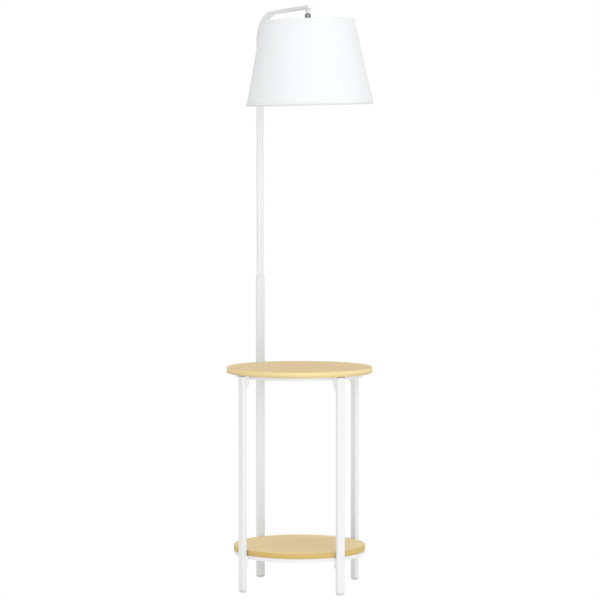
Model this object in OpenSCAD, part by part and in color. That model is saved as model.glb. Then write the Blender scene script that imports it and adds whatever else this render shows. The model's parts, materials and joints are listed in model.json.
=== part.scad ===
// Floor lamp with a round side table.
// Three short legs and one tall back leg carry a tabletop and a shelf. The tall leg takes a bent
// pole, and the pole's arm holds a fabric shade on a ball swivel.
// Millimetres. The origin is on the floor under the middle of the tabletop, +Z is up, the pole
// stands at +Y and its arm points to -Y.

/* [Legs] */
// Distance from the tabletop's edge in to the legs' outer faces
leg_setback = 3.75; // [2:0.25:8]
// Width of a leg tube, measured round the table
leg_w = 24; // [22:0.5:30]
// Depth of a leg tube, measured along the table's radius
leg_d = 13.5; // [13:0.25:16]
// Wall of a leg tube
leg_wall = 1.5; // [1.2:0.1:1.7]
// Outer corner radius of a leg tube
leg_corner_r = 3.5; // [2.5:0.1:4.5]
// Height of the tall back leg's open end above the floor
back_leg_top = 850; // [720:10:1000]
// Part of a foot plug that shows under its leg
foot_h = 7; // [6:0.5:12]
// Part of a foot plug that goes up into its leg
foot_insert = 14; // [8:1:20]
// Radius of a foot plug's rounded bottom edge
foot_round_r = 4; // [3:0.25:5]
// Gap all round between a foot plug and the inside of its leg
foot_gap = 0.1; // [0.05:0.05:0.3]

/* [Boards] */
// Diameter of the tabletop over its edge band
table_dia = 400; // [360:5:460]
// Height of the tabletop's face above the floor
table_face_z = 607; // [500:1:680]
// Gap between the shelf's edge band and the legs
shelf_gap = 1.75; // [1:0.25:10]
// Height of the shelf's face above the floor
shelf_face_z = 117; // [110:1:300]
// Thickness of both boards
board_t = 15; // [13:0.5:18]
// Thickness of the edge band glued round each board
band_t = 1; // [0.6:0.1:2]
// Rounding of an edge band's two outer corners
band_round_r = 0.9; // [0.3:0.1:1.2]
// Gap between the tall leg and the notch that it passes through
notch_gap = 0.8; // [0.3:0.1:2]

/* [Hoops and saddles] */
// Thickness of the steel hoops under the boards
hoop_t = 2; // [1.5:0.1:2.5]
// Height of the hoops
hoop_h = 10; // [10:0.5:14]
// Length of the screw tabs inside each hoop
tab_len = 16; // [13:1:24]
// Width of the screw tabs
tab_w = 16; // [12:1:24]
// Thickness of the screw tabs
tab_t = 2; // [1.5:0.1:2.5]
// Distance from the table hoop to the legs, filled by the cast saddles
table_saddle_d = 6.75; // [5:0.25:9]
// Height of the cast saddles
table_saddle_h = 37; // [34:1:50]
// Height of the straight upper part of a cast saddle
table_saddle_straight = 16; // [14:1:20]
// Length of leg that a cast saddle's cheeks cover, along the radius
table_cheek_cover = 6.4; // [4:0.2:9]
// Cheek thickness of a cast saddle next to its hoop
cheek_root_t = 3.2; // [2:0.1:4]
// Cheek thickness of a cast saddle at its thin outer end
cheek_end_t = 0.8; // [0.5:0.1:1.5]
// Thickness of the pressed saddles' web, between the shelf hoop and the legs
shelf_saddle_t = 2.5; // [2:0.1:4]
// Height of the pressed saddles
shelf_saddle_h = 29; // [24:1:40]
// Cheek thickness of a pressed saddle
shelf_cheek_t = 1.3; // [1:0.1:2]
// Length of leg that a pressed saddle's cheeks cover, along the radius
shelf_cheek_cover = 10.8; // [6:0.2:12]
// Gap between a saddle and its leg
saddle_gap = 0.1; // [0.05:0.05:0.3]

/* [Fasteners] */
// Thread diameter of the leg bolts and pole screws
bolt_dia = 5; // [4:1:5]
// Head diameter of the leg bolts
bolt_head_dia = 9.5; // [8:0.5:9.5]
// Head height of the leg bolts
bolt_head_h = 2.7; // [2:0.1:3.5]
// How far a leg bolt reaches past the leg's inner face
bolt_reach = 7.2; // [6:0.1:7.8]
// Diameter of a rivet nut's barrel
rivet_dia = 7; // [7:0.5:7.5]
// Length of a rivet nut's barrel inside the leg
rivet_len = 8; // [7.8:0.1:8.6]
// Diameter of a rivet nut's thin flange
rivet_flange_dia = 10; // [9:0.5:11]
// Thickness of a rivet nut's flange
rivet_flange_t = 0.8; // [0.5:0.1:1]
// Height of the bulge that a rivet nut is pulled into behind the leg's wall
rivet_bulge = 0.9; // [0.5:0.1:1]
// Length of that bulge
rivet_bulge_len = 1.8; // [1.2:0.1:1.9]
// Shank diameter of the wood screws
wood_screw_dia = 3.8; // [3:0.2:4.2]
// Head diameter of the wood screws
wood_screw_head_dia = 8; // [7:0.5:9]
// Head height of the wood screws
wood_screw_head_h = 2.4; // [2:0.1:3]
// Depth of a wood screw in its board
wood_screw_depth = 12; // [8:0.5:12.5]
// Radial gap of a plain hole round a fastener
hole_gap = 0.25; // [0.1:0.05:0.4]
// Radial gap left between a thread and its hole
thread_gap = 0.05; // [0.02:0.01:0.1]

/* [Pole and arm] */
// Height of the whole lamp, to the tip of the arm
lamp_h = 1594; // [1400:1:1750]
// Wall of the bent pole
pole_wall = 1.2; // [1:0.1:1.3]
// Outer corner radius of the bent pole
pole_corner_r = 2.5; // [2:0.1:3]
// Gap all round between the pole and the inside of the tall leg
pole_gap = 0.25; // [0.1:0.05:0.4]
// Length of pole inside the tall leg
pole_overlap = 60; // [55:1:100]
// Bend radius at the middle of the tube
bend_r = 75; // [50:1:90]
// Angle by which the arm rises towards its tip
arm_rise = 2.85; // [0:0.05:5]
// Reach from the pole's axis to the lampholder's axis
reach = 227.5; // [210:0.5:260]
// Length of arm past the lampholder's axis, end cap included
arm_tail = 17; // [14:1:30]
// Thickness of the end cap's lid
end_cap_t = 1.5; // [1:0.1:3]
// Length of the end cap's spigot inside the arm
end_cap_insert = 4; // [3:0.5:4.5]
// Gap all round between the spigot and the inside of the arm
end_cap_gap = 0.1; // [0.05:0.05:0.3]
// Distance from the tall leg's open end down to the upper pole screw
pole_screw_drop = 12; // [10:1:20]
// Distance between the two pole screws
pole_screw_pitch = 26; // [20:1:30]
// Head diameter of the pole screws
pole_screw_head_dia = 8.5; // [7:0.5:9]
// Head height of the pole screws
pole_screw_head_h = 2.6; // [2:0.1:3.5]
// Thickness of the threaded plate inside the pole
nut_plate_t = 2.5; // [2:0.1:2.6]
// Width of the threaded plate
nut_plate_w = 15; // [12:0.5:16]

/* [Cord entry and inner lead] */
// Height of the cord gland above the floor
gland_z = 45; // [40:1:55]
// Radius of the gland's open bore
gland_bore_r = 3.2; // [2.5:0.1:3.4]
// Radius of the gland's barrel
gland_r = 4.5; // [4.3:0.1:5]
// Radius of the gland's outer flange
gland_flange_r = 6.5; // [6:0.1:8]
// Thickness of the gland's flange
gland_flange_t = 1.5; // [1:0.1:3]
// Length of the gland's barrel behind the leg's outer face
gland_len = 4.5; // [3.5:0.1:5.5]
// Diameter of the lead that runs inside the leg, pole and arm
lead_dia = 4.2; // [3:0.1:4.4]
// Sideways offset of the lead from the middle of the tube
lead_side = 6.2; // [5.8:0.1:6.4]
// Offset of the lead towards the inside of the bend
lead_inset = 1.2; // [0.8:0.1:1.3]
// Distance from the lampholder's axis to the end of the lead's sheath
lead_end_gap = 12; // [11:0.5:20]
// Height of the inner connector's underside above the floor
connector_z = 56; // [52:1:62]
// Length of the inner connector
connector_h = 20; // [16:1:22]
// Width of the inner connector
connector_w = 16; // [14:0.5:18]
// Depth of the inner connector
connector_d = 8; // [6:0.5:9]
// Diameter of one insulated core
core_dia = 1.6; // [1:0.1:1.8]
// Bend radius of the cores where they turn down into the swivel
core_bend_r = 3; // [2.5:0.1:3.2]

/* [Swivel] */
// Thickness of the washer under the arm
washer_t = 1; // [0.6:0.1:2]
// Radius of the washer under the arm
washer_r = 7; // [6.2:0.1:9]
// Height of the white sleeve under the washer
sleeve_h = 7; // [5:0.5:12]
// Outer radius of the white sleeve
sleeve_r = 6; // [5.6:0.1:7.5]
// Radius of the threaded stem and nipple
thread_r = 5; // [5:0.1:5.2]
// Height of the locknut inside the arm
locknut_h = 3; // [2.5:0.1:3.5]
// Width across the flats of the locknuts
locknut_af = 14; // [13:0.5:16]
// How far the threaded stem stands out above its locknut
stem_past_nut = 0.8; // [0.4:0.1:1]
// Radius of the swivel's ball
ball_r = 6; // [5.8:0.1:6.5]
// Drop from the sleeve's lower end to the ball's centre
ball_drop = 6.5; // [6:0.1:8]
// Radius of the neck above the ball
neck_r = 4; // [3.6:0.1:4.2]
// Radius of the wire way through the stem and ball
wire_way_r = 2.4; // [2:0.1:2.6]
// Radius to which the wire way flares at the bottom of the ball
wire_flare_r = 3.8; // [3:0.1:4]
// Outer radius of the swivel's cup
cup_r = 8.25; // [8:0.05:10]
// Height of the cup's lip above the ball's centre
lip_rise = 2; // [1.6:0.1:2.4]
// Outer radius of the cup at the top of its lip
lip_r = 6.7; // [6.5:0.1:7.5]
// Height of the sloped shoulder under the lip
shoulder_h = 1.6; // [1:0.1:2.5]
// Running gap between the ball, its liner and the cup
ball_gap = 0.12; // [0.08:0.01:0.2]
// Thickness of the friction liner under the ball
liner_t = 0.5; // [0.4:0.05:0.7]
// Depth of the liner's upper rim below the ball's centre
liner_from = 2.3; // [2.2:0.1:3]
// Depth of the liner's lower rim below the ball's centre
liner_to = 5; // [4.5:0.1:5.3]
// Thickness of the nipple's head inside the cup
nipple_head_t = 1.2; // [1:0.1:2]
// Angle by which the shade's lower end hangs from square to the arm towards the pole
hang_tilt = 2.6; // [0:0.1:4]
// Angle by which the shade's lower end leans to +X about the arm
hang_lean = 1.5; // [-4:0.1:4]
// Thickness of the ring that closes the cup
cup_base_t = 1.6; // [1.2:0.1:3]
// Running gap round the nipple and its head
nipple_gap = 0.15; // [0.08:0.01:0.25]

/* [Lampholder] */
// Radius of the lampholder's threaded body
holder_r = 19.7; // [19.2:0.1:21]
// Wall of the lampholder's cap and of the chamber below it
holder_wall = 2; // [1.6:0.1:2.4]
// Height of the lampholder's domed cap
holder_cap_h = 17; // [15:0.5:24]
// Radius of the flat top of the cap
holder_cap_top_r = 11; // [10:0.5:14]
// Height of the lampholder's body
holder_body_h = 37; // [36:0.5:42]
// Radius of the flange that the shade's fitter ring sits against
holder_flange_r = 24; // [22.5:0.5:26]
// Thickness of that flange
holder_flange_t = 2; // [1.5:0.1:3]
// Depth of the chamber that holds the ceramic insert
chamber_h = 10; // [9:0.5:12]
// Thickness of the ceramic insert
insert_h = 7; // [5:0.5:8]
// Inner radius of the brass screw shell
shell_r = 13.4; // [13.3:0.1:13.6]
// Wall of the brass screw shell
shell_wall = 0.5; // [0.4:0.1:0.7]
// Height of the brass screw shell
shell_h = 24; // [20:0.5:25]
// Gap between the shell and the body around it
shell_gap = 0.4; // [0.2:0.1:0.6]
// Height of the centre contact below the insert
contact_h = 2; // [1.5:0.1:2.5]
// Radius of the centre contact
contact_r = 3; // [2.5:0.1:4]
// Height of the threaded ring that clamps the shade
clamp_ring_h = 10; // [7:0.5:14]
// Outer radius of the threaded clamp ring
clamp_ring_r = 24.5; // [23:0.5:27]
// Running gap between the clamp ring and the body that it turns on
clamp_ring_gap = 0.3; // [0.2:0.05:0.4]
// Running gap between the clamp ring and the fitter ring above it
clamp_top_gap = 0.15; // [0.1:0.05:0.3]

/* [Bulb] */
// Radius of the bulb's screw base
bulb_base_r = 13.1; // [12.9:0.1:13.1]
// Height of the bulb's screw base
bulb_base_h = 24; // [22:0.5:26]
// Height of the insulator between the contact and the screw base
bulb_collar_h = 3; // [2:0.5:5]
// Radius of the contact at the top of the screw base
bulb_tip_r = 4.5; // [3.5:0.1:6]
// Radius of the bulb's round glass
bulb_r = 30; // [24:0.5:40]
// Length of the bulb from contact to tip
bulb_len = 108; // [96:1:125]
// Step from the screw base out to the glass's neck
bulb_neck_step = 1.2; // [0.9:0.1:3]
// Wall of the bulb's glass
bulb_wall = 0.8; // [0.6:0.1:1.5]
// Gap between the centre contact and the bulb
bulb_gap = 0.3; // [0.2:0.05:0.5]

/* [Shade] */
// Diameter of the shade at its top rim
shade_top_dia = 252; // [220:1:280]
// Diameter of the shade at its bottom rim
shade_bottom_dia = 347; // [320:1:365]
// Height of the shade along its axis
shade_h = 232; // [200:1:260]
// Drop from the arm's underside to the shade's top rim
shade_drop = 28.5; // [24:0.5:36]
// Thickness of the fabric
fabric_t = 0.6; // [0.4:0.1:1]
// Thickness of the stiff liner that the fabric is bonded to
backing_t = 0.8; // [0.5:0.1:1.5]
// Gap kept between the fabric and its liner
bond_gap = 0.05; // [0.02:0.01:0.1]
// Width of the hem tapes at the top and bottom rims
hem_w = 9; // [6:0.5:14]
// Thickness of the hem tapes
hem_t = 0.4; // [0.3:0.1:0.6]
// Diameter of the wire of the two rim rings
rim_wire_dia = 3; // [2.5:0.1:4]
// Gap kept between the wire, the liner and the hem tape
wire_gap = 0.1; // [0.05:0.05:0.3]
// Diameter of the spider's three spokes
spoke_dia = 3.6; // [3:0.2:5]
// Radial gap between the fitter ring and the lampholder
fitter_gap = 0.5; // [0.3:0.1:0.8]
// Thickness of the fitter ring
fitter_t = 2; // [1.5:0.1:3]
// Outer radius of the fitter ring
fitter_r = 26; // [25:0.5:30]

/* [Hidden] */
$fn = 64;

// Colours
WHITE_METAL = [0.93, 0.94, 0.95];
WHITE_PLASTIC = [0.9, 0.91, 0.92];
OAK = [0.89, 0.78, 0.58];
OAK_EDGE = [0.87, 0.75, 0.5];
STEEL = [0.7, 0.71, 0.73];
NICKEL = [0.5, 0.5, 0.52];
CLOTH = [0.95, 0.95, 0.95];
LINER_WHITE = [0.98, 0.97, 0.95];
BRASS = [0.8, 0.65, 0.3];
CERAMIC = [0.94, 0.92, 0.88];
OPAL = [1, 0.98, 0.92];
CORE_BROWN = [0.45, 0.3, 0.22];
RUBBER = [0.35, 0.35, 0.36];
NYLON = [0.82, 0.82, 0.8];

// Directions of the legs round the table
BACK = 90;
LEFT = 180;
FRONT = 270;
RIGHT = 0;
ALL_LEGS = [BACK, LEFT, FRONT, RIGHT];
TAB_ANGLES = [45, 135, 225, 315];
SPOKE_ANGLES = [90, 210, 330];

// Cutters run past the faces they open by this much
EPS = 0.5;
// A screw head's top is this share of its width
HEAD_CROWN = 0.65;

// Legs, boards and hoops
leg_in = -leg_d / 2;
leg_out = leg_d / 2;
// Distance from the table's axis to the middle of each leg
leg_ring_r = table_dia / 2 - leg_setback - leg_out;
shelf_dia = 2 * (leg_ring_r + leg_in - shelf_gap);
leg_hollow_d = leg_d - 2 * leg_wall;
leg_hollow_w = leg_w - 2 * leg_wall;
leg_hollow_r = leg_corner_r - leg_wall;
table_under_z = table_face_z - board_t;
shelf_under_z = shelf_face_z - board_t;
table_hoop_r = leg_ring_r + leg_in - table_saddle_d;
shelf_hoop_r = leg_ring_r + leg_in - shelf_saddle_t;
table_bolt_z = table_under_z - hoop_h / 2;
shelf_bolt_z = shelf_under_z - hoop_h / 2;
bolt_r = bolt_dia / 2;
socket_r = 0.7 * bolt_r;
rivet_r = rivet_dia / 2;
table_saddle_z = table_under_z - table_saddle_h;
// A flat bolt head clears the hoop's hollow face by this much
head_clear = 0.1;

// Pole and arm
pole_d = leg_hollow_d - 2 * pole_gap;
pole_w = leg_hollow_w - 2 * pole_gap;
pole_hollow_d = pole_d - 2 * pole_wall;
pole_hollow_w = pole_w - 2 * pole_wall;
pole_from_z = back_leg_top - pole_overlap;
bend_angle = 90 - arm_rise;
bend_y = leg_ring_r - bend_r;
holder_y = leg_ring_r - reach;
arm_run = (bend_y + bend_r * cos(bend_angle) - holder_y) / cos(arm_rise);
bend_z = lamp_h - pole_d / 2 * cos(arm_rise) - (arm_tail + arm_run) * sin(arm_rise)
    - bend_r * sin(bend_angle);
arm_tube_end = arm_run + arm_tail - end_cap_t;
pole_screw_zs = [back_leg_top - pole_screw_drop, back_leg_top - pole_screw_drop - pole_screw_pitch];
// The straight lengths run into the bend by this much, so that the three are one tube
bend_lap = 0.5;
// The bend is this much thicker on each face than the straight lengths
bend_grow = 0.01;
nut_plate_from = pole_d / 2 - pole_wall - nut_plate_t;
lead_r = lead_dia / 2;
core_r = core_dia / 2;
core_spread = core_r + 0.2;
// Gap between the cores and the top of the arm's hollow
core_top_gap = 0.4;
// The cores stop this far above the ball's centre
core_end_gap = 1;

// Swivel, as heights below the arm's underside
sleeve_end = washer_t + sleeve_h;
ball_at = sleeve_end + ball_drop;
cup_top = ball_at - lip_rise;
liner_in_r = ball_r + ball_gap;
liner_out_r = liner_in_r + liner_t;
cup_hollow_r = liner_out_r + ball_gap;
nipple_head_top = ball_at + cup_hollow_r + ball_gap;
nipple_head_r = cup_hollow_r - nipple_gap;
cup_end = nipple_head_top + nipple_head_t + nipple_gap;
cup_base_end = cup_end + cup_base_t;
stem_top = pole_wall + locknut_h + stem_past_nut;
// The stem's threaded part clears its locknut, washer and sleeve
stem_hole_r = thread_r + thread_gap;

// Lampholder, as heights below the arm's underside
holder_top = cup_base_end + nipple_gap;
holder_split = holder_top + holder_cap_h;
holder_end = holder_split + holder_body_h;
flange_end = holder_split + holder_flange_t;
nipple_nut_top = holder_top + holder_wall;
nipple_end = nipple_nut_top + locknut_h + stem_past_nut;
insert_top = holder_split + chamber_h - insert_h;
insert_end = holder_split + chamber_h;
shell_end = insert_end + shell_h;
well_r = shell_r + shell_wall + shell_gap;
contact_end = insert_end + contact_h;
bulb_top = contact_end + bulb_gap;
bulb_shell_from = bulb_top + bulb_collar_h;
bulb_shell_end = bulb_shell_from + bulb_base_h;
bulb_centre = bulb_top + bulb_len - bulb_r;
bulb_neck_r = bulb_base_r + bulb_neck_step;
// Height above the glass's centre at which its neck meets the ball of glass
neck_meet = 0.3 * bulb_r;

// Shade, as heights below the arm's underside
fitter_top = flange_end;
fitter_end = fitter_top + fitter_t;
clamp_top = fitter_end + clamp_top_gap;
shade_end = shade_drop + shade_h;
shade_top_r = shade_top_dia / 2;
shade_bottom_r = shade_bottom_dia / 2;
shade_slope = (shade_bottom_r - shade_top_r) / shade_h;
rim_wire_r = rim_wire_dia / 2;
shell_t = fabric_t + bond_gap + backing_t;
wire_inset = shell_t + wire_gap + rim_wire_r;
wire_depth = hem_t + wire_gap + max(rim_wire_r, spoke_dia / 2);
hem_inset = wire_inset + rim_wire_r + wire_gap + hem_t;

// A spoke runs into the fitter ring by this much
spoke_lap = 1;

// The shade's outer radius at a height below the arm
function shade_r(h) = shade_top_r + (h - shade_drop) * shade_slope;

// Frames

// Stands its children at a leg: x points away from the table's axis, y runs round the table
module at_leg(angle) {
    rotate(angle)
        translate([leg_ring_r, 0, 0])
            children();
}

// Puts its children at the middle of the pole's bend: x points to the pole, y points up
module at_bend() {
    translate([0, bend_y, bend_z])
        rotate([90, 0, 90])
            children();
}

// Puts its children where the bend ends: y runs along the arm, x is square to it and points up
module at_arm() {
    at_bend()
        rotate(bend_angle)
            translate([bend_r, 0, 0])
                children();
}

// Hangs its children under the arm at the lampholder's axis, with the arm's underside at z = 0
module at_holder() {
    at_arm()
        translate([-pole_d / 2, arm_run, 0])
            rotate([180, -90, 0])
                children();
}

// The same, turned about the ball's centre to the way that the shade hangs
module at_hanger() {
    at_holder()
        translate([0, 0, -ball_at])
            rotate([hang_tilt, 0, 0])
                rotate([0, -hang_lean, 0])
                    translate([0, 0, ball_at])
                        children();
}

// Shared shapes

// A rectangle with round corners, centred on the origin
module rounded_rect(x, y, r) {
    square([x - 2 * r, y], center = true);
    square([x, y - 2 * r], center = true);
    for (side = [-1, 1], end = [-1, 1])
        translate([side * (x / 2 - r), end * (y / 2 - r)])
            circle(r);
}

module leg_section() {
    difference() {
        rounded_rect(leg_d, leg_w, leg_corner_r);
        rounded_rect(leg_hollow_d, leg_hollow_w, leg_hollow_r);
    }
}

// The pole's tube, with a wall that may be thicker by grow on both faces
module pole_section(grow = 0) {
    difference() {
        rounded_rect(pole_d + 2 * grow, pole_w + 2 * grow, pole_corner_r + grow);
        rounded_rect(
            pole_hollow_d - 2 * grow, pole_hollow_w - 2 * grow,
            pole_corner_r - pole_wall - grow);
    }
}

// A cylinder along x from x0 to x1 at height z
module along_x(r, x0, x1, z) {
    translate([x0, 0, z])
        rotate([0, 90, 0])
            cylinder(r = r, h = x1 - x0);
}

// A cylinder that hangs from height h0 down to h1 below the arm
module drum(r, h0, h1) {
    translate([0, 0, -h1])
        cylinder(r = r, h = h1 - h0);
}

// A round rod from point p to point q
module rod(p, q, r) {
    run = q - p;
    translate(p)
        rotate([0, acos(run.z / norm(run)), atan2(run.y, run.x)])
            cylinder(r = r, h = norm(run));
}

// A tube that hangs from height h0 down to h1 below the arm
module sleeve(r_out, r_in, h0, h1) {
    difference() {
        drum(r_out, h0, h1);
        drum(r_in, h0 - EPS, h1 + EPS);
    }
}

// A cone that hangs from radius r0 at height h0 down to radius r1 at height h1
module taper(r0, r1, h0, h1) {
    translate([0, 0, -h1])
        cylinder(r1 = r1, r2 = r0, h = h1 - h0);
}

// A hexagonal nut on a thread, from height h0 down to h1
module hex_nut(h0, h1) {
    difference() {
        translate([0, 0, -h1])
            cylinder(r = locknut_af / 2 / cos(30), h = h1 - h0, $fn = 6);
        drum(stem_hole_r, h0 - EPS, h1 + EPS);
    }
}

// Legs and feet

module leg(angle, top_z) {
    color(WHITE_METAL)
        at_leg(angle)
            difference() {
                translate([0, 0, foot_h])
                    linear_extrude(top_z - foot_h)
                        leg_section();
                for (z = [table_bolt_z, shelf_bolt_z])
                    along_x(rivet_r + thread_gap, leg_in - EPS, leg_in + leg_wall + EPS, z);
            }
}

module back_leg() {
    color(WHITE_METAL)
        difference() {
            leg(BACK, back_leg_top);
            at_leg(BACK) {
                along_x(gland_r + thread_gap, leg_out - leg_wall - EPS, leg_out + EPS, gland_z);
                for (z = pole_screw_zs)
                    along_x(bolt_r + hole_gap, leg_out - leg_wall - EPS, leg_out + EPS, z);
            }
        }
}

// A plug with a rounded foot: its flat sole rests on the floor
module foot(angle) {
    sole_d = leg_d - 2 * foot_round_r;
    sole_w = leg_w - 2 * foot_round_r;
    sole_corner_r = 1;
    slice_t = 0.2;
    steps = 5;
    color(WHITE_PLASTIC)
        at_leg(angle) {
            hull() {
                for (swing = [0 : 90 / steps : 90])
                    translate([0, 0, foot_round_r * (1 - cos(swing))])
                        linear_extrude(slice_t)
                            rounded_rect(
                                sole_d + 2 * foot_round_r * sin(swing),
                                sole_w + 2 * foot_round_r * sin(swing),
                                sole_corner_r + sin(swing) * (leg_corner_r - sole_corner_r),
                                $fn = 24);
                translate([0, 0, foot_h - slice_t])
                    linear_extrude(slice_t)
                        rounded_rect(leg_d, leg_w, leg_corner_r, $fn = 24);
            }
            translate([0, 0, foot_h])
                linear_extrude(foot_insert)
                    rounded_rect(
                        leg_hollow_d - 2 * foot_gap,
                        leg_hollow_w - 2 * foot_gap,
                        leg_hollow_r - foot_gap);
        }
}

// Hoops and saddles

// A flat steel hoop with four screw tabs, its top against a board
module hoop(outer_r, top_z) {
    bolt_z = top_z - hoop_h / 2;
    color(WHITE_METAL)
        difference() {
            union() {
                difference() {
                    translate([0, 0, top_z - hoop_h])
                        cylinder(r = outer_r, h = hoop_h, $fn = 180);
                    translate([0, 0, top_z - hoop_h - EPS])
                        cylinder(r = outer_r - hoop_t, h = hoop_h + 2 * EPS, $fn = 180);
                }
                for (angle = TAB_ANGLES)
                    rotate(angle)
                        translate([outer_r - hoop_t - tab_len, -tab_w / 2, top_z - tab_t])
                            cube([tab_len + hoop_t / 2, tab_w, tab_t]);
            }
            for (angle = TAB_ANGLES)
                rotate(angle)
                    translate([tab_hole_r(outer_r), 0, top_z - tab_t - EPS])
                        cylinder(d = wood_screw_dia + 2 * hole_gap, h = tab_t + 2 * EPS);
            for (angle = ALL_LEGS)
                rotate(angle)
                    along_x(bolt_r + hole_gap, outer_r - hoop_t - EPS, outer_r + EPS, bolt_z);
        }
}

// Distance from the table's axis to the screw in a hoop's tab
function tab_hole_r(outer_r) = outer_r - hoop_t - tab_len / 2;

// A cast saddle: a wedge between the table hoop and a leg, with cheeks that hold the leg
module table_saddle(angle) {
    inner_x = leg_in - table_saddle_d;
    outer_x = leg_in + table_cheek_cover;
    seat_y = leg_w / 2 + saddle_gap;
    toe_t = 1.2;
    color(WHITE_METAL)
        at_leg(angle)
            difference() {
                intersection() {
                    translate([0, 0, table_saddle_z])
                        linear_extrude(table_saddle_h)
                            polygon([
                                [inner_x, -seat_y - cheek_root_t],
                                [outer_x, -seat_y - cheek_end_t],
                                [outer_x, seat_y + cheek_end_t],
                                [inner_x, seat_y + cheek_root_t]
                            ]);
                    translate([0, leg_w, 0])
                        rotate([90, 0, 0])
                            linear_extrude(2 * leg_w)
                                polygon([
                                    [inner_x, table_under_z],
                                    [inner_x, table_under_z - table_saddle_straight],
                                    [leg_in - toe_t, table_saddle_z],
                                    [leg_in + table_cheek_cover / 3, table_saddle_z],
                                    [outer_x, table_under_z - table_saddle_straight],
                                    [outer_x, table_under_z]
                                ]);
                }
                translate([0, 0, table_saddle_z - EPS])
                    linear_extrude(table_saddle_h + 2 * EPS)
                        rounded_rect(
                            leg_d + 2 * saddle_gap,
                            leg_w + 2 * saddle_gap,
                            leg_corner_r + saddle_gap);
                along_x(bolt_r + hole_gap, inner_x - EPS, leg_in + EPS, table_bolt_z);
                along_x(
                    rivet_flange_dia / 2 + hole_gap,
                    leg_in - rivet_flange_t - saddle_gap, leg_in + EPS, table_bolt_z);
            }
}

// A pressed saddle: a web against the shelf hoop and two cheeks beside the leg
module shelf_saddle(angle) {
    inner_x = leg_in - shelf_saddle_t;
    outer_x = leg_in + shelf_cheek_cover;
    seat_y = leg_w / 2 + saddle_gap;
    half_w = seat_y + shelf_cheek_t;
    color(WHITE_METAL)
        at_leg(angle)
            difference() {
                translate([inner_x, -half_w, shelf_under_z - shelf_saddle_h])
                    cube([outer_x - inner_x, 2 * half_w, shelf_saddle_h]);
                translate([leg_in - saddle_gap, -seat_y, shelf_under_z - shelf_saddle_h - EPS])
                    cube([leg_d, 2 * seat_y, shelf_saddle_h + 2 * EPS]);
                along_x(bolt_r + hole_gap, inner_x - EPS, leg_in + EPS, shelf_bolt_z);
                along_x(
                    rivet_flange_dia / 2 + hole_gap,
                    leg_in - rivet_flange_t - saddle_gap, leg_in + EPS, shelf_bolt_z);
            }
}

// Boards

// A round board with pilot holes for the screws of its hoop
module board(dia, face_z, hoop_outer_r) {
    under_z = face_z - board_t;
    difference() {
        translate([0, 0, under_z])
            cylinder(d = dia - 2 * band_t, h = board_t, $fn = 180);
        for (angle = TAB_ANGLES)
            rotate(angle)
                translate([tab_hole_r(hoop_outer_r), 0, under_z - EPS])
                    cylinder(d = wood_screw_dia + 2 * thread_gap, h = wood_screw_depth + 2 * EPS);
    }
}

// The band glued round a board, with two rounded outer corners
module band(dia, face_z) {
    outer_r = dia / 2;
    under_z = face_z - board_t;
    rotate_extrude($fn = 180) {
        translate([outer_r - band_t, under_z])
            square([band_t - band_round_r, board_t]);
        translate([outer_r - band_t, under_z + band_round_r])
            square([band_t, board_t - 2 * band_round_r]);
        for (z = [under_z + band_round_r, face_z - band_round_r])
            intersection() {
                translate([outer_r - band_round_r, z])
                    circle(band_round_r);
                translate([outer_r - band_t, under_z])
                    square([band_t, board_t]);
            }
    }
}

// The open notch in the tabletop's back edge that the tall leg passes through
module leg_notch() {
    notch_w = leg_w + 2 * notch_gap;
    at_leg(BACK)
        translate([leg_in - notch_gap, -notch_w / 2, table_under_z - EPS])
            cube([
                table_dia / 2 - leg_ring_r - leg_in + notch_gap + EPS,
                notch_w, board_t + 2 * EPS]);
}

module tabletop() {
    color(OAK)
        difference() {
            board(table_dia, table_face_z, table_hoop_r);
            leg_notch();
        }
}

module tabletop_band() {
    color(OAK_EDGE)
        difference() {
            band(table_dia, table_face_z);
            leg_notch();
        }
}

module shelf() {
    color(OAK)
        board(shelf_dia, shelf_face_z, shelf_hoop_r);
}

module shelf_band() {
    color(OAK_EDGE)
        band(shelf_dia, shelf_face_z);
}

// Fasteners

// Four button-head bolts through a hoop and its saddles into the legs
module leg_bolts(hoop_outer_r, z) {
    seat_x = hoop_outer_r - hoop_t - head_clear - leg_ring_r;
    color(STEEL)
        for (angle = ALL_LEGS)
            at_leg(angle)
                difference() {
                    union() {
                        along_x(bolt_r, seat_x - EPS, leg_in + bolt_reach, z);
                        translate([seat_x, 0, z])
                            rotate([0, -90, 0]) {
                                cylinder(d = bolt_head_dia, h = bolt_head_h / 2);
                                translate([0, 0, bolt_head_h / 2])
                                    cylinder(
                                        d1 = bolt_head_dia, d2 = HEAD_CROWN * bolt_head_dia,
                                        h = bolt_head_h / 2);
                            }
                    }
                    translate([seat_x - bolt_head_h - EPS, 0, z])
                        rotate([0, 90, 0])
                            cylinder(r = socket_r, h = bolt_head_h / 2 + EPS, $fn = 6);
                }
}

// Four threaded rivet nuts in the legs' inner walls
module rivet_nuts(z) {
    color(STEEL)
        for (angle = ALL_LEGS)
            at_leg(angle)
                difference() {
                    union() {
                        along_x(rivet_flange_dia / 2, leg_in - rivet_flange_t, leg_in, z);
                        along_x(rivet_r, leg_in - EPS / 2, leg_in + rivet_len, z);
                        along_x(
                            rivet_r + rivet_bulge,
                            leg_in + leg_wall, leg_in + leg_wall + rivet_bulge_len, z);
                    }
                    along_x(
                        bolt_r + thread_gap,
                        leg_in - rivet_flange_t - EPS, leg_in + rivet_len + EPS, z);
                }
}

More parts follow.
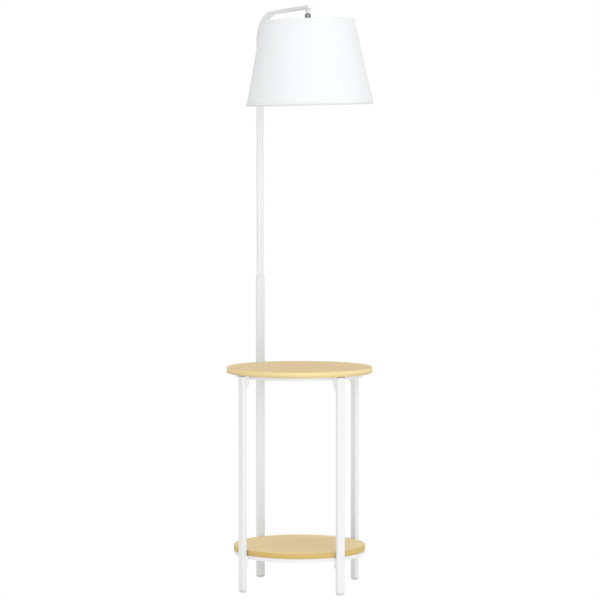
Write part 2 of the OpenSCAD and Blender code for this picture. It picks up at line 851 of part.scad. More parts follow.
// Four pan-head screws from a hoop's tabs up into its board
module wood_screws(hoop_outer_r, under_z) {
    slot_w = 0.8;
    slot_len = 0.6 * wood_screw_head_dia;
    color(STEEL)
        for (angle = TAB_ANGLES)
            rotate(angle)
                translate([tab_hole_r(hoop_outer_r), 0, under_z - tab_t])
                    difference() {
                        union() {
                            translate([0, 0, -EPS])
                                cylinder(d = wood_screw_dia, h = tab_t + wood_screw_depth + EPS);
                            translate([0, 0, -wood_screw_head_h / 2])
                                cylinder(d = wood_screw_head_dia, h = wood_screw_head_h / 2);
                            translate([0, 0, -wood_screw_head_h])
                                cylinder(
                                    d1 = HEAD_CROWN * wood_screw_head_dia, d2 = wood_screw_head_dia,
                                    h = wood_screw_head_h / 2);
                        }
                        for (turn = [0, 90])
                            rotate(turn)
                                translate([-slot_len / 2, -slot_w / 2, -wood_screw_head_h - EPS])
                                    cube([slot_len, slot_w, wood_screw_head_h / 2 + EPS]);
                    }
}

// Pole and arm

// A section carried along the straight arm, from y0 to y1 past the end of the bend
module along_arm(y0, y1) {
    at_arm()
        translate([0, y0, 0])
            rotate([-90, 0, 0])
                linear_extrude(y1 - y0)
                    children();
}

module bent_pole() {
    color(WHITE_METAL)
        difference() {
            union() {
                at_leg(BACK)
                    translate([0, 0, pole_from_z])
                        linear_extrude(bend_z + bend_lap - pole_from_z)
                            pole_section();
                at_bend()
                    rotate_extrude(angle = bend_angle, $fn = 180)
                        translate([bend_r, 0])
                            pole_section(bend_grow);
                along_arm(-bend_lap, arm_tube_end)
                    pole_section();
            }
            at_leg(BACK)
                for (z = pole_screw_zs)
                    along_x(bolt_r + hole_gap, pole_d / 2 - pole_wall - EPS, pole_d / 2 + EPS, z);
            at_holder()
                drum(stem_hole_r, -pole_wall - EPS, EPS);
        }
}

module arm_end_cap() {
    color(WHITE_PLASTIC) {
        along_arm(arm_tube_end, arm_tube_end + end_cap_t)
            rounded_rect(pole_d, pole_w, pole_corner_r);
        along_arm(arm_tube_end - end_cap_insert, arm_tube_end)
            rounded_rect(
                pole_hollow_d - 2 * end_cap_gap,
                pole_hollow_w - 2 * end_cap_gap,
                pole_corner_r - pole_wall - end_cap_gap);
    }
}

// Two screws through the back of the tall leg into the plate inside the pole
module pole_screws() {
    tip_x = nut_plate_from + thread_gap;
    color(STEEL)
        at_leg(BACK)
            for (z = pole_screw_zs)
                difference() {
                    union() {
                        along_x(bolt_r, tip_x, leg_out + EPS, z);
                        along_x(pole_screw_head_dia / 2, leg_out, leg_out + pole_screw_head_h / 2, z);
                        translate([leg_out + pole_screw_head_h / 2, 0, z])
                            rotate([0, 90, 0])
                                cylinder(
                                    d1 = pole_screw_head_dia, d2 = HEAD_CROWN * pole_screw_head_dia,
                                    h = pole_screw_head_h / 2);
                    }
                    translate([leg_out + pole_screw_head_h / 2, 0, z])
                        rotate([0, 90, 0])
                            cylinder(r = socket_r, h = pole_screw_head_h, $fn = 6);
                }
}

module pole_nut_plate() {
    margin = bolt_dia;
    low_z = pole_screw_zs[1] - margin;
    color(STEEL)
        at_leg(BACK)
            difference() {
                translate([nut_plate_from, -nut_plate_w / 2, low_z])
                    cube([nut_plate_t, nut_plate_w, pole_screw_pitch + 2 * margin]);
                for (z = pole_screw_zs)
                    along_x(
                        bolt_r + thread_gap,
                        nut_plate_from - EPS, nut_plate_from + nut_plate_t + EPS, z);
            }
}

// Cord entry and inner lead

module cord_gland() {
    color(RUBBER)
        at_leg(BACK)
            difference() {
                union() {
                    along_x(gland_flange_r, leg_out, leg_out + gland_flange_t, gland_z);
                    along_x(gland_r, leg_out - gland_len, leg_out + EPS, gland_z);
                }
                along_x(
                    gland_bore_r,
                    leg_out - gland_len - EPS, leg_out + gland_flange_t + EPS, gland_z);
            }
}

module inner_connector() {
    color(NYLON)
        at_leg(BACK)
            difference() {
                translate([leg_out - leg_wall - connector_d, -connector_w / 2, connector_z])
                    cube([connector_d, connector_w, connector_h]);
                for (side = [-1, 1])
                    translate([
                        leg_out - leg_wall - connector_d / 2,
                        side * connector_w / 4, connector_z - EPS])
                        cylinder(r = core_r + hole_gap, h = connector_h / 3);
            }
}

// The sheathed lead: up the tall leg and pole, round the bend and along the arm
module inner_lead() {
    color(NYLON) {
        at_leg(BACK)
            translate([-lead_inset, -lead_side, connector_z + connector_h])
                cylinder(r = lead_r, h = bend_z + bend_lap - connector_z - connector_h);
        at_bend()
            rotate_extrude(angle = bend_angle, $fn = 180)
                translate([bend_r - lead_inset, lead_side])
                    circle(lead_r + bend_grow);
        at_arm()
            translate([-lead_inset, -bend_lap, lead_side])
                rotate([-90, 0, 0])
                    cylinder(r = lead_r, h = arm_run - lead_end_gap + bend_lap);
    }
}

// Two insulated cores from the lead's end, over the locknut and down through the stem to the ball
module lead_cores() {
    core_z = pole_d - pole_wall - core_r - core_top_gap;
    color(CORE_BROWN)
        at_holder()
            for (side = [-1, 1]) {
                start = [lead_side + side * core_r, lead_end_gap, pole_d / 2 - lead_inset];
                turn = [side * core_spread, core_bend_r, core_z];
                rod(start, turn, core_r);
                translate(turn)
                    sphere(core_r);
                translate([turn.x, core_bend_r, core_z - core_bend_r])
                    rotate([90, 0, 90])
                        rotate(90)
                            rotate_extrude(angle = 90)
                                translate([core_bend_r, 0])
                                    circle(core_r);
                translate([turn.x, 0, 0])
                    drum(core_r, core_bend_r - core_z, ball_at - core_end_gap);
            }
}

// Swivel

module stem_locknut() {
    color(STEEL)
        at_holder()
            hex_nut(-pole_wall - locknut_h, -pole_wall);
}

module arm_washer() {
    color(NICKEL)
        at_holder()
            sleeve(washer_r, stem_hole_r, 0, washer_t);
}

module stem_sleeve() {
    color(WHITE_METAL)
        at_holder()
            sleeve(sleeve_r, stem_hole_r, washer_t, sleeve_end);
}

// A hollow threaded stem that ends in the swivel's ball
module ball_stem() {
    color(NICKEL)
        at_holder()
            difference() {
                union() {
                    drum(thread_r, -stem_top, sleeve_end);
                    drum(neck_r, sleeve_end - EPS, ball_at);
                    translate([0, 0, -ball_at])
                        sphere(ball_r);
                }
                drum(wire_way_r, -stem_top - EPS, ball_at + EPS);
                taper(wire_way_r, wire_flare_r, ball_at, ball_at + ball_r + EPS);
            }
}

// A thin ring of nylon between the ball's lower half and the cup
module swivel_liner() {
    color(NYLON)
        at_hanger()
            intersection() {
                difference() {
                    translate([0, 0, -ball_at])
                        sphere(liner_out_r);
                    translate([0, 0, -ball_at])
                        sphere(liner_in_r);
                }
                drum(cup_r, ball_at + liner_from, ball_at + liner_to);
            }
}

// The swivel's cup: its lip holds the ball, its lower end holds the nipple's head
module swivel_cup() {
    color(NICKEL)
        at_hanger()
            difference() {
                union() {
                    taper(lip_r, cup_r, cup_top, cup_top + shoulder_h);
                    drum(cup_r, cup_top + shoulder_h, cup_end);
                }
                translate([0, 0, -ball_at])
                    sphere(liner_in_r);
                intersection() {
                    translate([0, 0, -ball_at])
                        sphere(cup_hollow_r);
                    drum(cup_r + EPS, ball_at, cup_end);
                }
                drum(wire_flare_r, ball_at, cup_end);
                drum(cup_hollow_r, nipple_head_top - nipple_gap, cup_end + EPS);
            }
}

module swivel_base() {
    color(NICKEL)
        at_hanger()
            sleeve(cup_r, thread_r + nipple_gap, cup_end, cup_base_end);
}

// A hollow nipple whose head turns inside the cup
module turning_nipple() {
    color(STEEL)
        at_hanger()
            difference() {
                union() {
                    drum(nipple_head_r, nipple_head_top, nipple_head_top + nipple_head_t);
                    drum(thread_r, nipple_head_top, nipple_end);
                }
                drum(wire_way_r, nipple_head_top - EPS, nipple_end + EPS);
            }
}

// Lampholder

module nipple_locknut() {
    color(STEEL)
        at_hanger()
            hex_nut(nipple_nut_top, nipple_nut_top + locknut_h);
}

// Two cores from the nipple down to the insert's terminals
module holder_wires() {
    color(CORE_BROWN)
        at_hanger()
            for (side = [-1, 1])
                translate([side * core_spread, 0, 0])
                    drum(core_r, nipple_head_top, insert_top);
}

module holder_cap() {
    side_h = 4;
    color(WHITE_PLASTIC)
        at_hanger()
            difference() {
                union() {
                    taper(holder_cap_top_r, holder_r, holder_top, holder_split - side_h);
                    drum(holder_r, holder_split - side_h, holder_split);
                }
                taper(
                    holder_cap_top_r - holder_wall, holder_r - holder_wall,
                    holder_top + holder_wall, holder_split - side_h);
                drum(holder_r - holder_wall, holder_split - side_h, holder_split + EPS);
                drum(stem_hole_r, holder_top - EPS, holder_top + holder_wall + EPS);
            }
}

module holder_body() {
    color(WHITE_PLASTIC)
        at_hanger()
            difference() {
                union() {
                    drum(holder_flange_r, holder_split, flange_end);
                    drum(holder_r, holder_split, holder_end);
                }
                drum(holder_r - holder_wall, holder_split - EPS, insert_end);
                drum(well_r, insert_end - EPS, holder_end + EPS);
            }
}

module holder_insert() {
    color(CERAMIC)
        at_hanger()
            drum(holder_r - holder_wall - thread_gap, insert_top, insert_end);
}

module holder_shell() {
    color(BRASS)
        at_hanger()
            sleeve(shell_r + shell_wall, shell_r, insert_end, shell_end);
}

module holder_contact() {
    color(BRASS)
        at_hanger()
            drum(contact_r, insert_end, contact_end);
}

module clamp_ring() {
    color(WHITE_PLASTIC)
        at_hanger()
            sleeve(
                clamp_ring_r, holder_r + clamp_ring_gap,
                clamp_top, clamp_top + clamp_ring_h);
}

// Bulb

module bulb_glass() {
    color(OPAL)
        at_hanger()
            difference() {
                bulb_envelope(0);
                bulb_envelope(bulb_wall);
            }
}

// The bulb's outer form, or its hollow when it is drawn in by a wall
module bulb_envelope(inset) {
    meet_r = sqrt(bulb_r * bulb_r - neck_meet * neck_meet);
    translate([0, 0, -bulb_centre])
        sphere(bulb_r - inset, $fn = 96);
    taper(
        bulb_neck_r - inset, meet_r - inset,
        bulb_shell_end + inset, bulb_centre - neck_meet);
}

// The metal screw base with its insulator and contact
module bulb_base() {
    tip_h = 1;
    color(STEEL)
        at_hanger() {
            drum(bulb_tip_r, bulb_top, bulb_top + tip_h);
            taper(bulb_tip_r, bulb_base_r, bulb_top + tip_h, bulb_shell_from);
            drum(bulb_base_r, bulb_shell_from, bulb_shell_end);
        }
}

// Shade

// The spider: a fitter ring on the lampholder, three spokes and the ring of the top rim
module shade_spider() {
    ring_h = shade_drop + wire_depth;
    color(WHITE_METAL)
        at_hanger() {
            sleeve(fitter_r, holder_r + fitter_gap, fitter_top, fitter_end);
            for (angle = SPOKE_ANGLES)
                rotate(angle)
                    rod(
                        [fitter_r - spoke_lap, 0, -fitter_top - fitter_t / 2],
                        [shade_r(ring_h) - wire_inset, 0, -ring_h],
                        spoke_dia / 2);
            rim_ring(ring_h);
        }
}

// A round wire ring inside the shade at a height below the arm
module rim_ring(h) {
    translate([0, 0, -h])
        rotate_extrude($fn = 180)
            translate([shade_r(h) - wire_inset, 0])
                circle(rim_wire_r, $fn = 32);
}

module bottom_rim_ring() {
    color(WHITE_METAL)
        at_hanger()
            rim_ring(shade_end - wire_depth);
}

// A conical skin of the shade between two distances inside its outer face
module shade_skin(from_inset, to_inset) {
    top_h = shade_drop + hem_t;
    end_h = shade_end - hem_t;
    rotate_extrude($fn = 180)
        polygon([
            [shade_r(top_h) - from_inset, -top_h],
            [shade_r(end_h) - from_inset, -end_h],
            [shade_r(end_h) - to_inset, -end_h],
            [shade_r(top_h) - to_inset, -top_h]
        ]);
}

module shade_fabric() {
    color(CLOTH)
        at_hanger()
            shade_skin(0, fabric_t);
}

module shade_liner() {
    color(LINER_WHITE)
        at_hanger()
            shade_skin(fabric_t + bond_gap, shell_t);
}

// A tape folded over a rim: outside the fabric, over the edge and inside the wire
module hem(rim_h, towards) {
    fold_h = rim_h + towards * hem_t;
    end_h = rim_h + towards * hem_w;
    rotate_extrude($fn = 180)
        polygon([
            [shade_r(rim_h) + hem_t, -rim_h],
            [shade_r(end_h) + hem_t, -end_h],
            [shade_r(end_h) + bond_gap, -end_h],
            [shade_r(fold_h) + bond_gap, -fold_h],
            [shade_r(fold_h) - hem_inset + hem_t, -fold_h],
            [shade_r(end_h) - hem_inset + hem_t, -end_h],
            [shade_r(end_h) - hem_inset, -end_h],
            [shade_r(rim_h) - hem_inset, -rim_h]
        ]);
}

module top_hem() {
    // The spokes reach the wire through slots in the tape's inner side
    slot_w = spoke_dia + 2 * hem_t;
    slot_h = shade_drop + hem_w + hem_t;
    slot_from = shade_top_r - hem_inset - hem_t;
    slot_to = shade_r(slot_h) - hem_inset + 2 * hem_t;
    color(CLOTH)
        at_hanger()
            difference() {
                hem(shade_drop, 1);
                for (angle = SPOKE_ANGLES)
                    rotate(angle)
                        translate([slot_from, -slot_w / 2, -slot_h])
                            cube([slot_to - slot_from, slot_w, hem_w]);
            }
}

module bottom_hem() {
    color(CLOTH)
        at_hanger()
            hem(shade_end, -1);
}

back_leg();
leg(LEFT, table_under_z);  // left_leg
leg(RIGHT, table_under_z);  // right_leg
leg(FRONT, table_under_z);  // front_leg
foot(BACK);  // back_foot
foot(LEFT);  // left_foot
foot(RIGHT);  // right_foot
foot(FRONT);  // front_foot
hoop(table_hoop_r, table_under_z);  // table_hoop
hoop(shelf_hoop_r, shelf_under_z);  // shelf_hoop
table_saddle(BACK);  // back_table_saddle
table_saddle(LEFT);  // left_table_saddle
table_saddle(RIGHT);  // right_table_saddle
table_saddle(FRONT);  // front_table_saddle
shelf_saddle(BACK);  // back_shelf_saddle
shelf_saddle(LEFT);  // left_shelf_saddle
shelf_saddle(RIGHT);  // right_shelf_saddle
shelf_saddle(FRONT);  // front_shelf_saddle
tabletop();
tabletop_band();
shelf();
shelf_band();
leg_bolts(table_hoop_r, table_bolt_z);  // table_leg_bolts
leg_bolts(shelf_hoop_r, shelf_bolt_z);  // shelf_leg_bolts
rivet_nuts(table_bolt_z);  // table_rivet_nuts
rivet_nuts(shelf_bolt_z);  // shelf_rivet_nuts
wood_screws(table_hoop_r, table_under_z);  // table_wood_screws
wood_screws(shelf_hoop_r, shelf_under_z);  // shelf_wood_screws
bent_pole();
arm_end_cap();
pole_screws();
pole_nut_plate();
cord_gland();
inner_connector();
inner_lead();
lead_cores();
stem_locknut();
arm_washer();
stem_sleeve();
ball_stem();
swivel_liner();
swivel_cup();
swivel_base();
turning_nipple();
nipple_locknut();
holder_wires();
holder_cap();
holder_body();
holder_insert();
holder_shell();
holder_contact();
shade_spider();
bottom_rim_ring();
shade_liner();
shade_fabric();
top_hem();
bottom_hem();
clamp_ring();
bulb_glass();
bulb_base();
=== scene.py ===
"""Looks of a floor lamp with a round side table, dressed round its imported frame.

Lengths are in metres, in the frame's own axes: the origin is on the floor under the middle of the
tabletop, +Z is up, the pole stands at +Y and its arm points to -Y.
"""

from __future__ import annotations

import json
import logging
import math
from collections.abc import Sequence
from dataclasses import dataclass, field
from enum import Enum
from typing import Any

import bpy
import numpy as np
from mathutils import Vector
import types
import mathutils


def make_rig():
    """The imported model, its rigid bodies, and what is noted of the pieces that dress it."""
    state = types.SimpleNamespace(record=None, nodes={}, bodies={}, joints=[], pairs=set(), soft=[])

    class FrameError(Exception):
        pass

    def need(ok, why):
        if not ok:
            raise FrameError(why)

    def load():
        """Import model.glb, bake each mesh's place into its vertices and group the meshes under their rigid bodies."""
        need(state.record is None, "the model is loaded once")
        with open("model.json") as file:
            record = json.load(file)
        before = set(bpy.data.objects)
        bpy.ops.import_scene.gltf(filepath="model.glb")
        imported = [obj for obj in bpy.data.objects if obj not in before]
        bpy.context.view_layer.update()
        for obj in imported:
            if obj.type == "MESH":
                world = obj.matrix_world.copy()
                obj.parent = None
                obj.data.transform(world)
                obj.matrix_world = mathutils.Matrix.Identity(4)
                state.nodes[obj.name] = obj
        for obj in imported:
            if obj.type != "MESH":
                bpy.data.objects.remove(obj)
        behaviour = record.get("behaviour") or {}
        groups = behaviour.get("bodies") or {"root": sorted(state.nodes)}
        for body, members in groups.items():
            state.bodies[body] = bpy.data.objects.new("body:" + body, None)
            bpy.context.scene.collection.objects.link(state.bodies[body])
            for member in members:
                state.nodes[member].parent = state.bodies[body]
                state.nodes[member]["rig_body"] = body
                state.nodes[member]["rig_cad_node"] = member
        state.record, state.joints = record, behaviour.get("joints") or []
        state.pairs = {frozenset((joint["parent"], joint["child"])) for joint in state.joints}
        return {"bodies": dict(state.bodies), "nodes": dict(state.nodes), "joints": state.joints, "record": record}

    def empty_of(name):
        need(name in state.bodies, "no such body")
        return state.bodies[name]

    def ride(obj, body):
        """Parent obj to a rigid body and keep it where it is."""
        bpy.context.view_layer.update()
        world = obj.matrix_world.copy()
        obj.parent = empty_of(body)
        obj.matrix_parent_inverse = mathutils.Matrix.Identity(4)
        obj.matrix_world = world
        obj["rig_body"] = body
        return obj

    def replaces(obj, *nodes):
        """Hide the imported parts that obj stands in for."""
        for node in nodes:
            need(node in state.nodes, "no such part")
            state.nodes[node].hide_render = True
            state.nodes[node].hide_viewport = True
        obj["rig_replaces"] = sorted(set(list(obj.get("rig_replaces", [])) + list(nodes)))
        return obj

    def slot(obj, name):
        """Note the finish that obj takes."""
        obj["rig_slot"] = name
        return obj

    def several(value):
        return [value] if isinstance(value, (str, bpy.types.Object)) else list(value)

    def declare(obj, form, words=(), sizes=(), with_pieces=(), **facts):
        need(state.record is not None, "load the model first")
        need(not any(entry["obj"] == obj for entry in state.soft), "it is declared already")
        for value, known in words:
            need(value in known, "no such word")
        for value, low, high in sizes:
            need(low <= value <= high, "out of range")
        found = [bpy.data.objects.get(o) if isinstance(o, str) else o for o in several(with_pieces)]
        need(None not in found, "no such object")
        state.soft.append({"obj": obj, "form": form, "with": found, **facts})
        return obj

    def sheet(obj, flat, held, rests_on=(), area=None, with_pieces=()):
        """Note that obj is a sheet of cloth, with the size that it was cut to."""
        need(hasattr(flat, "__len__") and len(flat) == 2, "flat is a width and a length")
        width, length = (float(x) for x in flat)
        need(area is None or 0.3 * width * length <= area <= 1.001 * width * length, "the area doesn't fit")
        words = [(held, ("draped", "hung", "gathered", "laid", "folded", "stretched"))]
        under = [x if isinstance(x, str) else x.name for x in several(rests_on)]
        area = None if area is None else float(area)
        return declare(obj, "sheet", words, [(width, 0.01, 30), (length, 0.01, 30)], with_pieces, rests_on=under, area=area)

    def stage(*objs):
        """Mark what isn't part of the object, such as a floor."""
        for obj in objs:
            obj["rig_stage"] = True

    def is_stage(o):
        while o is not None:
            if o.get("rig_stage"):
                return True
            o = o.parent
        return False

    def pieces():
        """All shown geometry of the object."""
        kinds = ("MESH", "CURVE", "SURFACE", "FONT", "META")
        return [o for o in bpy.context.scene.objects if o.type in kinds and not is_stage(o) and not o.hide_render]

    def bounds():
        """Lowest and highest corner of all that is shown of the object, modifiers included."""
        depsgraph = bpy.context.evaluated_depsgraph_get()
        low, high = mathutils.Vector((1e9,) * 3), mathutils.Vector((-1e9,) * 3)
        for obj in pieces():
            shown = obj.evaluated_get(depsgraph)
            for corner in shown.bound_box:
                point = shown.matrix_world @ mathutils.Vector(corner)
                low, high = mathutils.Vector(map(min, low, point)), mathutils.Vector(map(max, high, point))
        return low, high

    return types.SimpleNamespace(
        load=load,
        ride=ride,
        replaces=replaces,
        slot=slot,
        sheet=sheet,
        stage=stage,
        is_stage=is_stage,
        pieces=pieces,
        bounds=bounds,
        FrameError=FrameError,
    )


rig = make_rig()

LOG = logging.getLogger("floor_lamp")
SIZE_FILE = "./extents.json"
MM = 0.001

Colour = tuple[float, float, float]
Array = np.ndarray
Sockets = dict[str, bpy.types.NodeSocket]


def linear(red: int, green: int, blue: int) -> Colour:
    """Turns a display colour of 0 to 255 into the linear colour that a shader takes.

    Args:
        red: Red on the display scale.
        green: Green on the display scale.
        blue: Blue on the display scale.

    Returns:
        The linear colour, each part raised by the display's curve.
    """
    def part(value: int) -> float:
        share = value / 255
        return share / 12.92 if share <= 0.04045 else ((share + 0.055) / 1.055) ** 2.4

    return part(red), part(green), part(blue)


# ---------------------------------------------------------------- shader wiring


class Wiring:
    """Adds nodes to a shader tree and links them by the names of their sockets."""

    def __init__(self, tree: bpy.types.NodeTree) -> None:
        """Takes the tree that the nodes go into."""
        self.tree = tree

    def add(self, kind: str, settings: dict[str, Any] | None = None, **inputs: Any) -> bpy.types.Node:
        """Adds one node, sets it up and feeds its inputs.

        Args:
            kind: The node's type, without its ShaderNode prefix.
            settings: The node's own properties.
            inputs: Values or sockets by input name, with _ for a space and in0, in1 for a number.

        Returns:
            The new node.
        """
        node = self.tree.nodes.new("ShaderNode" + kind)
        for name, value in (settings or {}).items():
            setattr(node, name, value)
        for name, value in inputs.items():
            number = name[2:] if name.startswith("in") else ""
            key = int(number) if number.isdigit() else name.replace("_", " ")
            self.feed(node.inputs[key], value)
        return node

    def feed(self, socket: bpy.types.NodeSocket, value: Any) -> None:
        """Links a socket to another one, or sets it to a plain value.

        Args:
            socket: The input to feed.
            value: A socket to link to it, or a number, vector or colour.
        """
        if isinstance(value, bpy.types.NodeSocket):
            self.tree.links.new(value, socket)
        elif socket.type == "RGBA" and len(value) == 3:
            socket.default_value = (*value, 1.0)
        else:
            socket.default_value = value

    def math(self, operation: str, first: Any, second: Any = 0.0) -> bpy.types.NodeSocket:
        """Adds a Math node and returns its result."""
        return self.add("Math", {"operation": operation}, in0=first, in1=second).outputs[0]

    def scale(self, vector: Any, factor: Any) -> bpy.types.NodeSocket:
        """Multiplies a vector or a colour by a number."""
        return self.add("VectorMath", {"operation": "SCALE"}, in0=vector, Scale=factor).outputs[0]

    def split(self, vector: Any) -> Any:
        """Returns the x, y and z of a vector."""
        return self.add("SeparateXYZ", None, Vector=vector).outputs

    def mix(self, share: Any, first: Any, second: Any) -> bpy.types.NodeSocket:
        """Mixes two colours.

        Args:
            share: How much of the second colour there is, from 0 to 1.
            first: The first colour.
            second: The second colour.

        Returns:
            The mixed colour.
        """
        node = self.add("Mix", {"data_type": "RGBA"})
        self.feed(node.inputs[0], share)
        self.feed(node.inputs[6], first)
        self.feed(node.inputs[7], second)
        return node.outputs[2]

    def ramp(
        self, value: Any, start: Any, end: Any, low: Any = 0.0, high: Any = 1.0, kind: str = "LINEAR"
    ) -> bpy.types.NodeSocket:
        """Goes from low to high while a value goes from start to end, and stays level outside.

        Args:
            value: The value that is followed.
            start: Where the ramp starts.
            end: Where it ends.
            low: The result at the start.
            high: The result at the end.
            kind: The form of the ramp, by its name in the Map Range node.

        Returns:
            The result.
        """
        node = self.add(
            "MapRange", {"interpolation_type": kind}, in0=value, in1=start, in2=end, in3=low, in4=high)
        return node.outputs[0]

    def spread(self, value: Any, low: Any, high: Any) -> bpy.types.NodeSocket:
        """Carries a value of 0 to 1 over to the range from low to high."""
        return self.ramp(value, 0.0, 1.0, low, high)

    def noise(self, vector: Any, scale: Any, detail: float = 2.0) -> bpy.types.NodeSocket:
        """Adds smooth noise over a vector and returns its value of 0 to 1."""
        return self.add("TexNoise", None, Vector=vector, Scale=scale, Detail=detail).outputs["Fac"]

    def stretch(self, vector: Any, scale: Sequence[float]) -> bpy.types.NodeSocket:
        """Scales a vector by another number along each axis."""
        return self.add("Mapping", None, Vector=vector, Scale=scale).outputs[0]


@dataclass(frozen=True)
class Effect:
    """A shader node group that several finishes share."""

    name: str
    inputs: tuple[tuple[str, str, Any], ...]
    outputs: tuple[tuple[str, str], ...]

    def tree(self) -> bpy.types.NodeTree:
        """Returns the group, which is built at its first use."""
        found = bpy.data.node_groups.get(self.name)
        if found:
            return found
        tree = bpy.data.node_groups.new(self.name, "ShaderNodeTree")
        for name, kind, value in self.inputs:
            socket = tree.interface.new_socket(name, in_out="INPUT", socket_type="NodeSocket" + kind)
            if value is not None:
                socket.default_value = value
        for name, kind in self.outputs:
            tree.interface.new_socket(name, in_out="OUTPUT", socket_type="NodeSocket" + kind)
        wiring = Wiring(tree)
        start = tree.nodes.new("NodeGroupInput")
        end = tree.nodes.new("NodeGroupOutput")
        for name, socket in self.wire(wiring, start.outputs).items():
            tree.links.new(socket, end.inputs[name])
        return tree

    def wire(self, wiring: Wiring, given: Any) -> Sockets:
        """Wires the group's inside and returns its outputs by name."""
        raise NotImplementedError

    def use(self, wiring: Wiring, **inputs: Any) -> Any:
        """Places the group in a material and returns its outputs.

        Args:
            wiring: The material's wiring.
            inputs: Values or sockets by the group's input names.

        Returns:
            The outputs of the placed group.
        """
        node = wiring.tree.nodes.new("ShaderNodeGroup")
        node.node_tree = self.tree()
        for name, value in inputs.items():
            wiring.feed(node.inputs[name], value)
        return node.outputs


class Mottle(Effect):
    """Slow cloudy change of a colour and of its gloss, as in any coat that people have handled."""

    FINER = 6.3
    WIDE_SHARE = 0.7
    DARKER = 0.82

    def wire(self, wiring: Wiring, given: Any) -> Sockets:
        """Mixes wide noise with finer noise and darkens the colour by it.

        Args:
            wiring: The group's wiring.
            given: The group's inputs.

        Returns:
            The colour, and the mask that it follows.
        """
        wide = wiring.noise(given["Vector"], given["Scale"], 3.0)
        fine = wiring.noise(given["Vector"], wiring.math("MULTIPLY", given["Scale"], self.FINER), 2.0)
        both = wiring.math(
            "ADD", wiring.math("MULTIPLY", wide, self.WIDE_SHARE),
            wiring.math("MULTIPLY", fine, 1 - self.WIDE_SHARE))
        darker = wiring.scale(given["Colour"], self.DARKER)
        share = wiring.math("MULTIPLY", both, given["Amount"])
        return {"Colour": wiring.mix(share, given["Colour"], darker), "Mask": both}


class Peel(Effect):
    """The fine pebbled skin of sprayed powder or of moulded plastic, as a height."""

    FINER = 2.7
    FINE_SHARE = 0.35

    def wire(self, wiring: Wiring, given: Any) -> Sockets:
        """Adds round cells of one size to finer noise.

        Args:
            wiring: The group's wiring.
            given: The group's inputs.

        Returns:
            The height.
        """
        cells = wiring.add(
            "TexVoronoi", {"feature": "SMOOTH_F1"},
            Vector=given["Vector"], Scale=given["Scale"], Smoothness=1.0).outputs["Distance"]
        fine = wiring.noise(given["Vector"], wiring.math("MULTIPLY", given["Scale"], self.FINER), 1.0)
        return {"Height": wiring.math("ADD", cells, wiring.math("MULTIPLY", fine, self.FINE_SHARE))}


class Grain(Effect):
    """Straight oak grain along x: wide bands, fine streaks and short open pores.

    Each pattern is noise stretched along x. Its three numbers are turns of the noise per metre.
    """

    SWAY = (1.1, 4.0, 4.0)
    SWAY_BY = 0.05
    BANDS = (1.0, 26.0, 26.0)
    BAND_SHARE = 0.55
    STREAKS = (5.0, 260.0, 260.0)
    PORES = (45.0, 1500.0, 1500.0)
    PORE_SHARE = 0.45
    PORE_DARKER = 0.72
    STREAK_RISE = 0.3

    def wire(self, wiring: Wiring, given: Any) -> Sockets:
        """Sways the grain a little to the side and lays the three patterns over each other.

        Args:
            wiring: The group's wiring.
            given: The group's inputs.

        Returns:
            The colour, the mask of bands and streaks, and the height, with the pores sunk.
        """
        slow = wiring.noise(wiring.stretch(given["Vector"], self.SWAY), 1.0, 2.0)
        sway = wiring.math("MULTIPLY", slow, self.SWAY_BY)
        aside = wiring.add("CombineXYZ", None, X=0.0, Y=sway, Z=0.0).outputs[0]
        at = wiring.add("VectorMath", {"operation": "ADD"}, in0=given["Vector"], in1=aside).outputs[0]
        band = wiring.ramp(wiring.noise(wiring.stretch(at, self.BANDS), 1.0, 4.0), 0.32, 0.68)
        streak = wiring.ramp(wiring.noise(wiring.stretch(at, self.STREAKS), 1.0, 5.0), 0.35, 0.7)
        pore = wiring.ramp(wiring.noise(wiring.stretch(at, self.PORES), 1.0, 1.0), 0.62, 0.72)
        both = wiring.math(
            "ADD", wiring.math("MULTIPLY", band, self.BAND_SHARE),
            wiring.math("MULTIPLY", streak, 1 - self.BAND_SHARE))
        toned = wiring.mix(both, given["Pale"], given["Deep"])
        dark = wiring.scale(given["Deep"], self.PORE_DARKER)
        raised = wiring.math("MULTIPLY", streak, self.STREAK_RISE)
        return {
            "Colour": wiring.mix(wiring.math("MULTIPLY", pore, self.PORE_SHARE), toned, dark),
            "Mask": both,
            "Height": wiring.math("SUBTRACT", raised, pore),
        }


class Weave(Effect):
    """A plain weave: threads along u and v that pass over and under each other."""

    SLUB_ALONG = 0.03
    SLUB_ACROSS = 0.9
    SLUB_RISE = 0.6

    def wire(self, wiring: Wiring, given: Any) -> Sockets:
        """Raises each thread as half a sine wave and swaps which one is on top, square by square.

        Args:
            wiring: The group's wiring.
            given: The group's inputs.

        Returns:
            The height, and the mask of thick and thin threads.
        """
        threads = wiring.scale(given["Vector"], given["Threads"])
        axes = wiring.split(threads)
        ridges = [
            wiring.math("ABSOLUTE", wiring.math("SINE", wiring.math("MULTIPLY", axes[i], math.pi)))
            for i in (0, 1)]
        steps = wiring.math("ADD", wiring.math("FLOOR", axes[0]), wiring.math("FLOOR", axes[1]))
        swap = wiring.math("MODULO", wiring.math("ABSOLUTE", steps), 2.0)
        over = wiring.math("MULTIPLY", ridges[0], swap)
        under = wiring.math("MULTIPLY", ridges[1], wiring.math("SUBTRACT", 1.0, swap))
        height = wiring.math("ADD", over, under)
        slubs = [
            wiring.noise(wiring.stretch(threads, (*scale, 1.0)), 1.0, 2.0)
            for scale in ((self.SLUB_ALONG, self.SLUB_ACROSS), (self.SLUB_ACROSS, self.SLUB_ALONG))]
        slub = wiring.math("MULTIPLY", wiring.math("ADD", *slubs), 0.5)
        return {
            "Height": wiring.math("ADD", height, wiring.math("MULTIPLY", slub, self.SLUB_RISE)),
            "Mask": slub,
        }


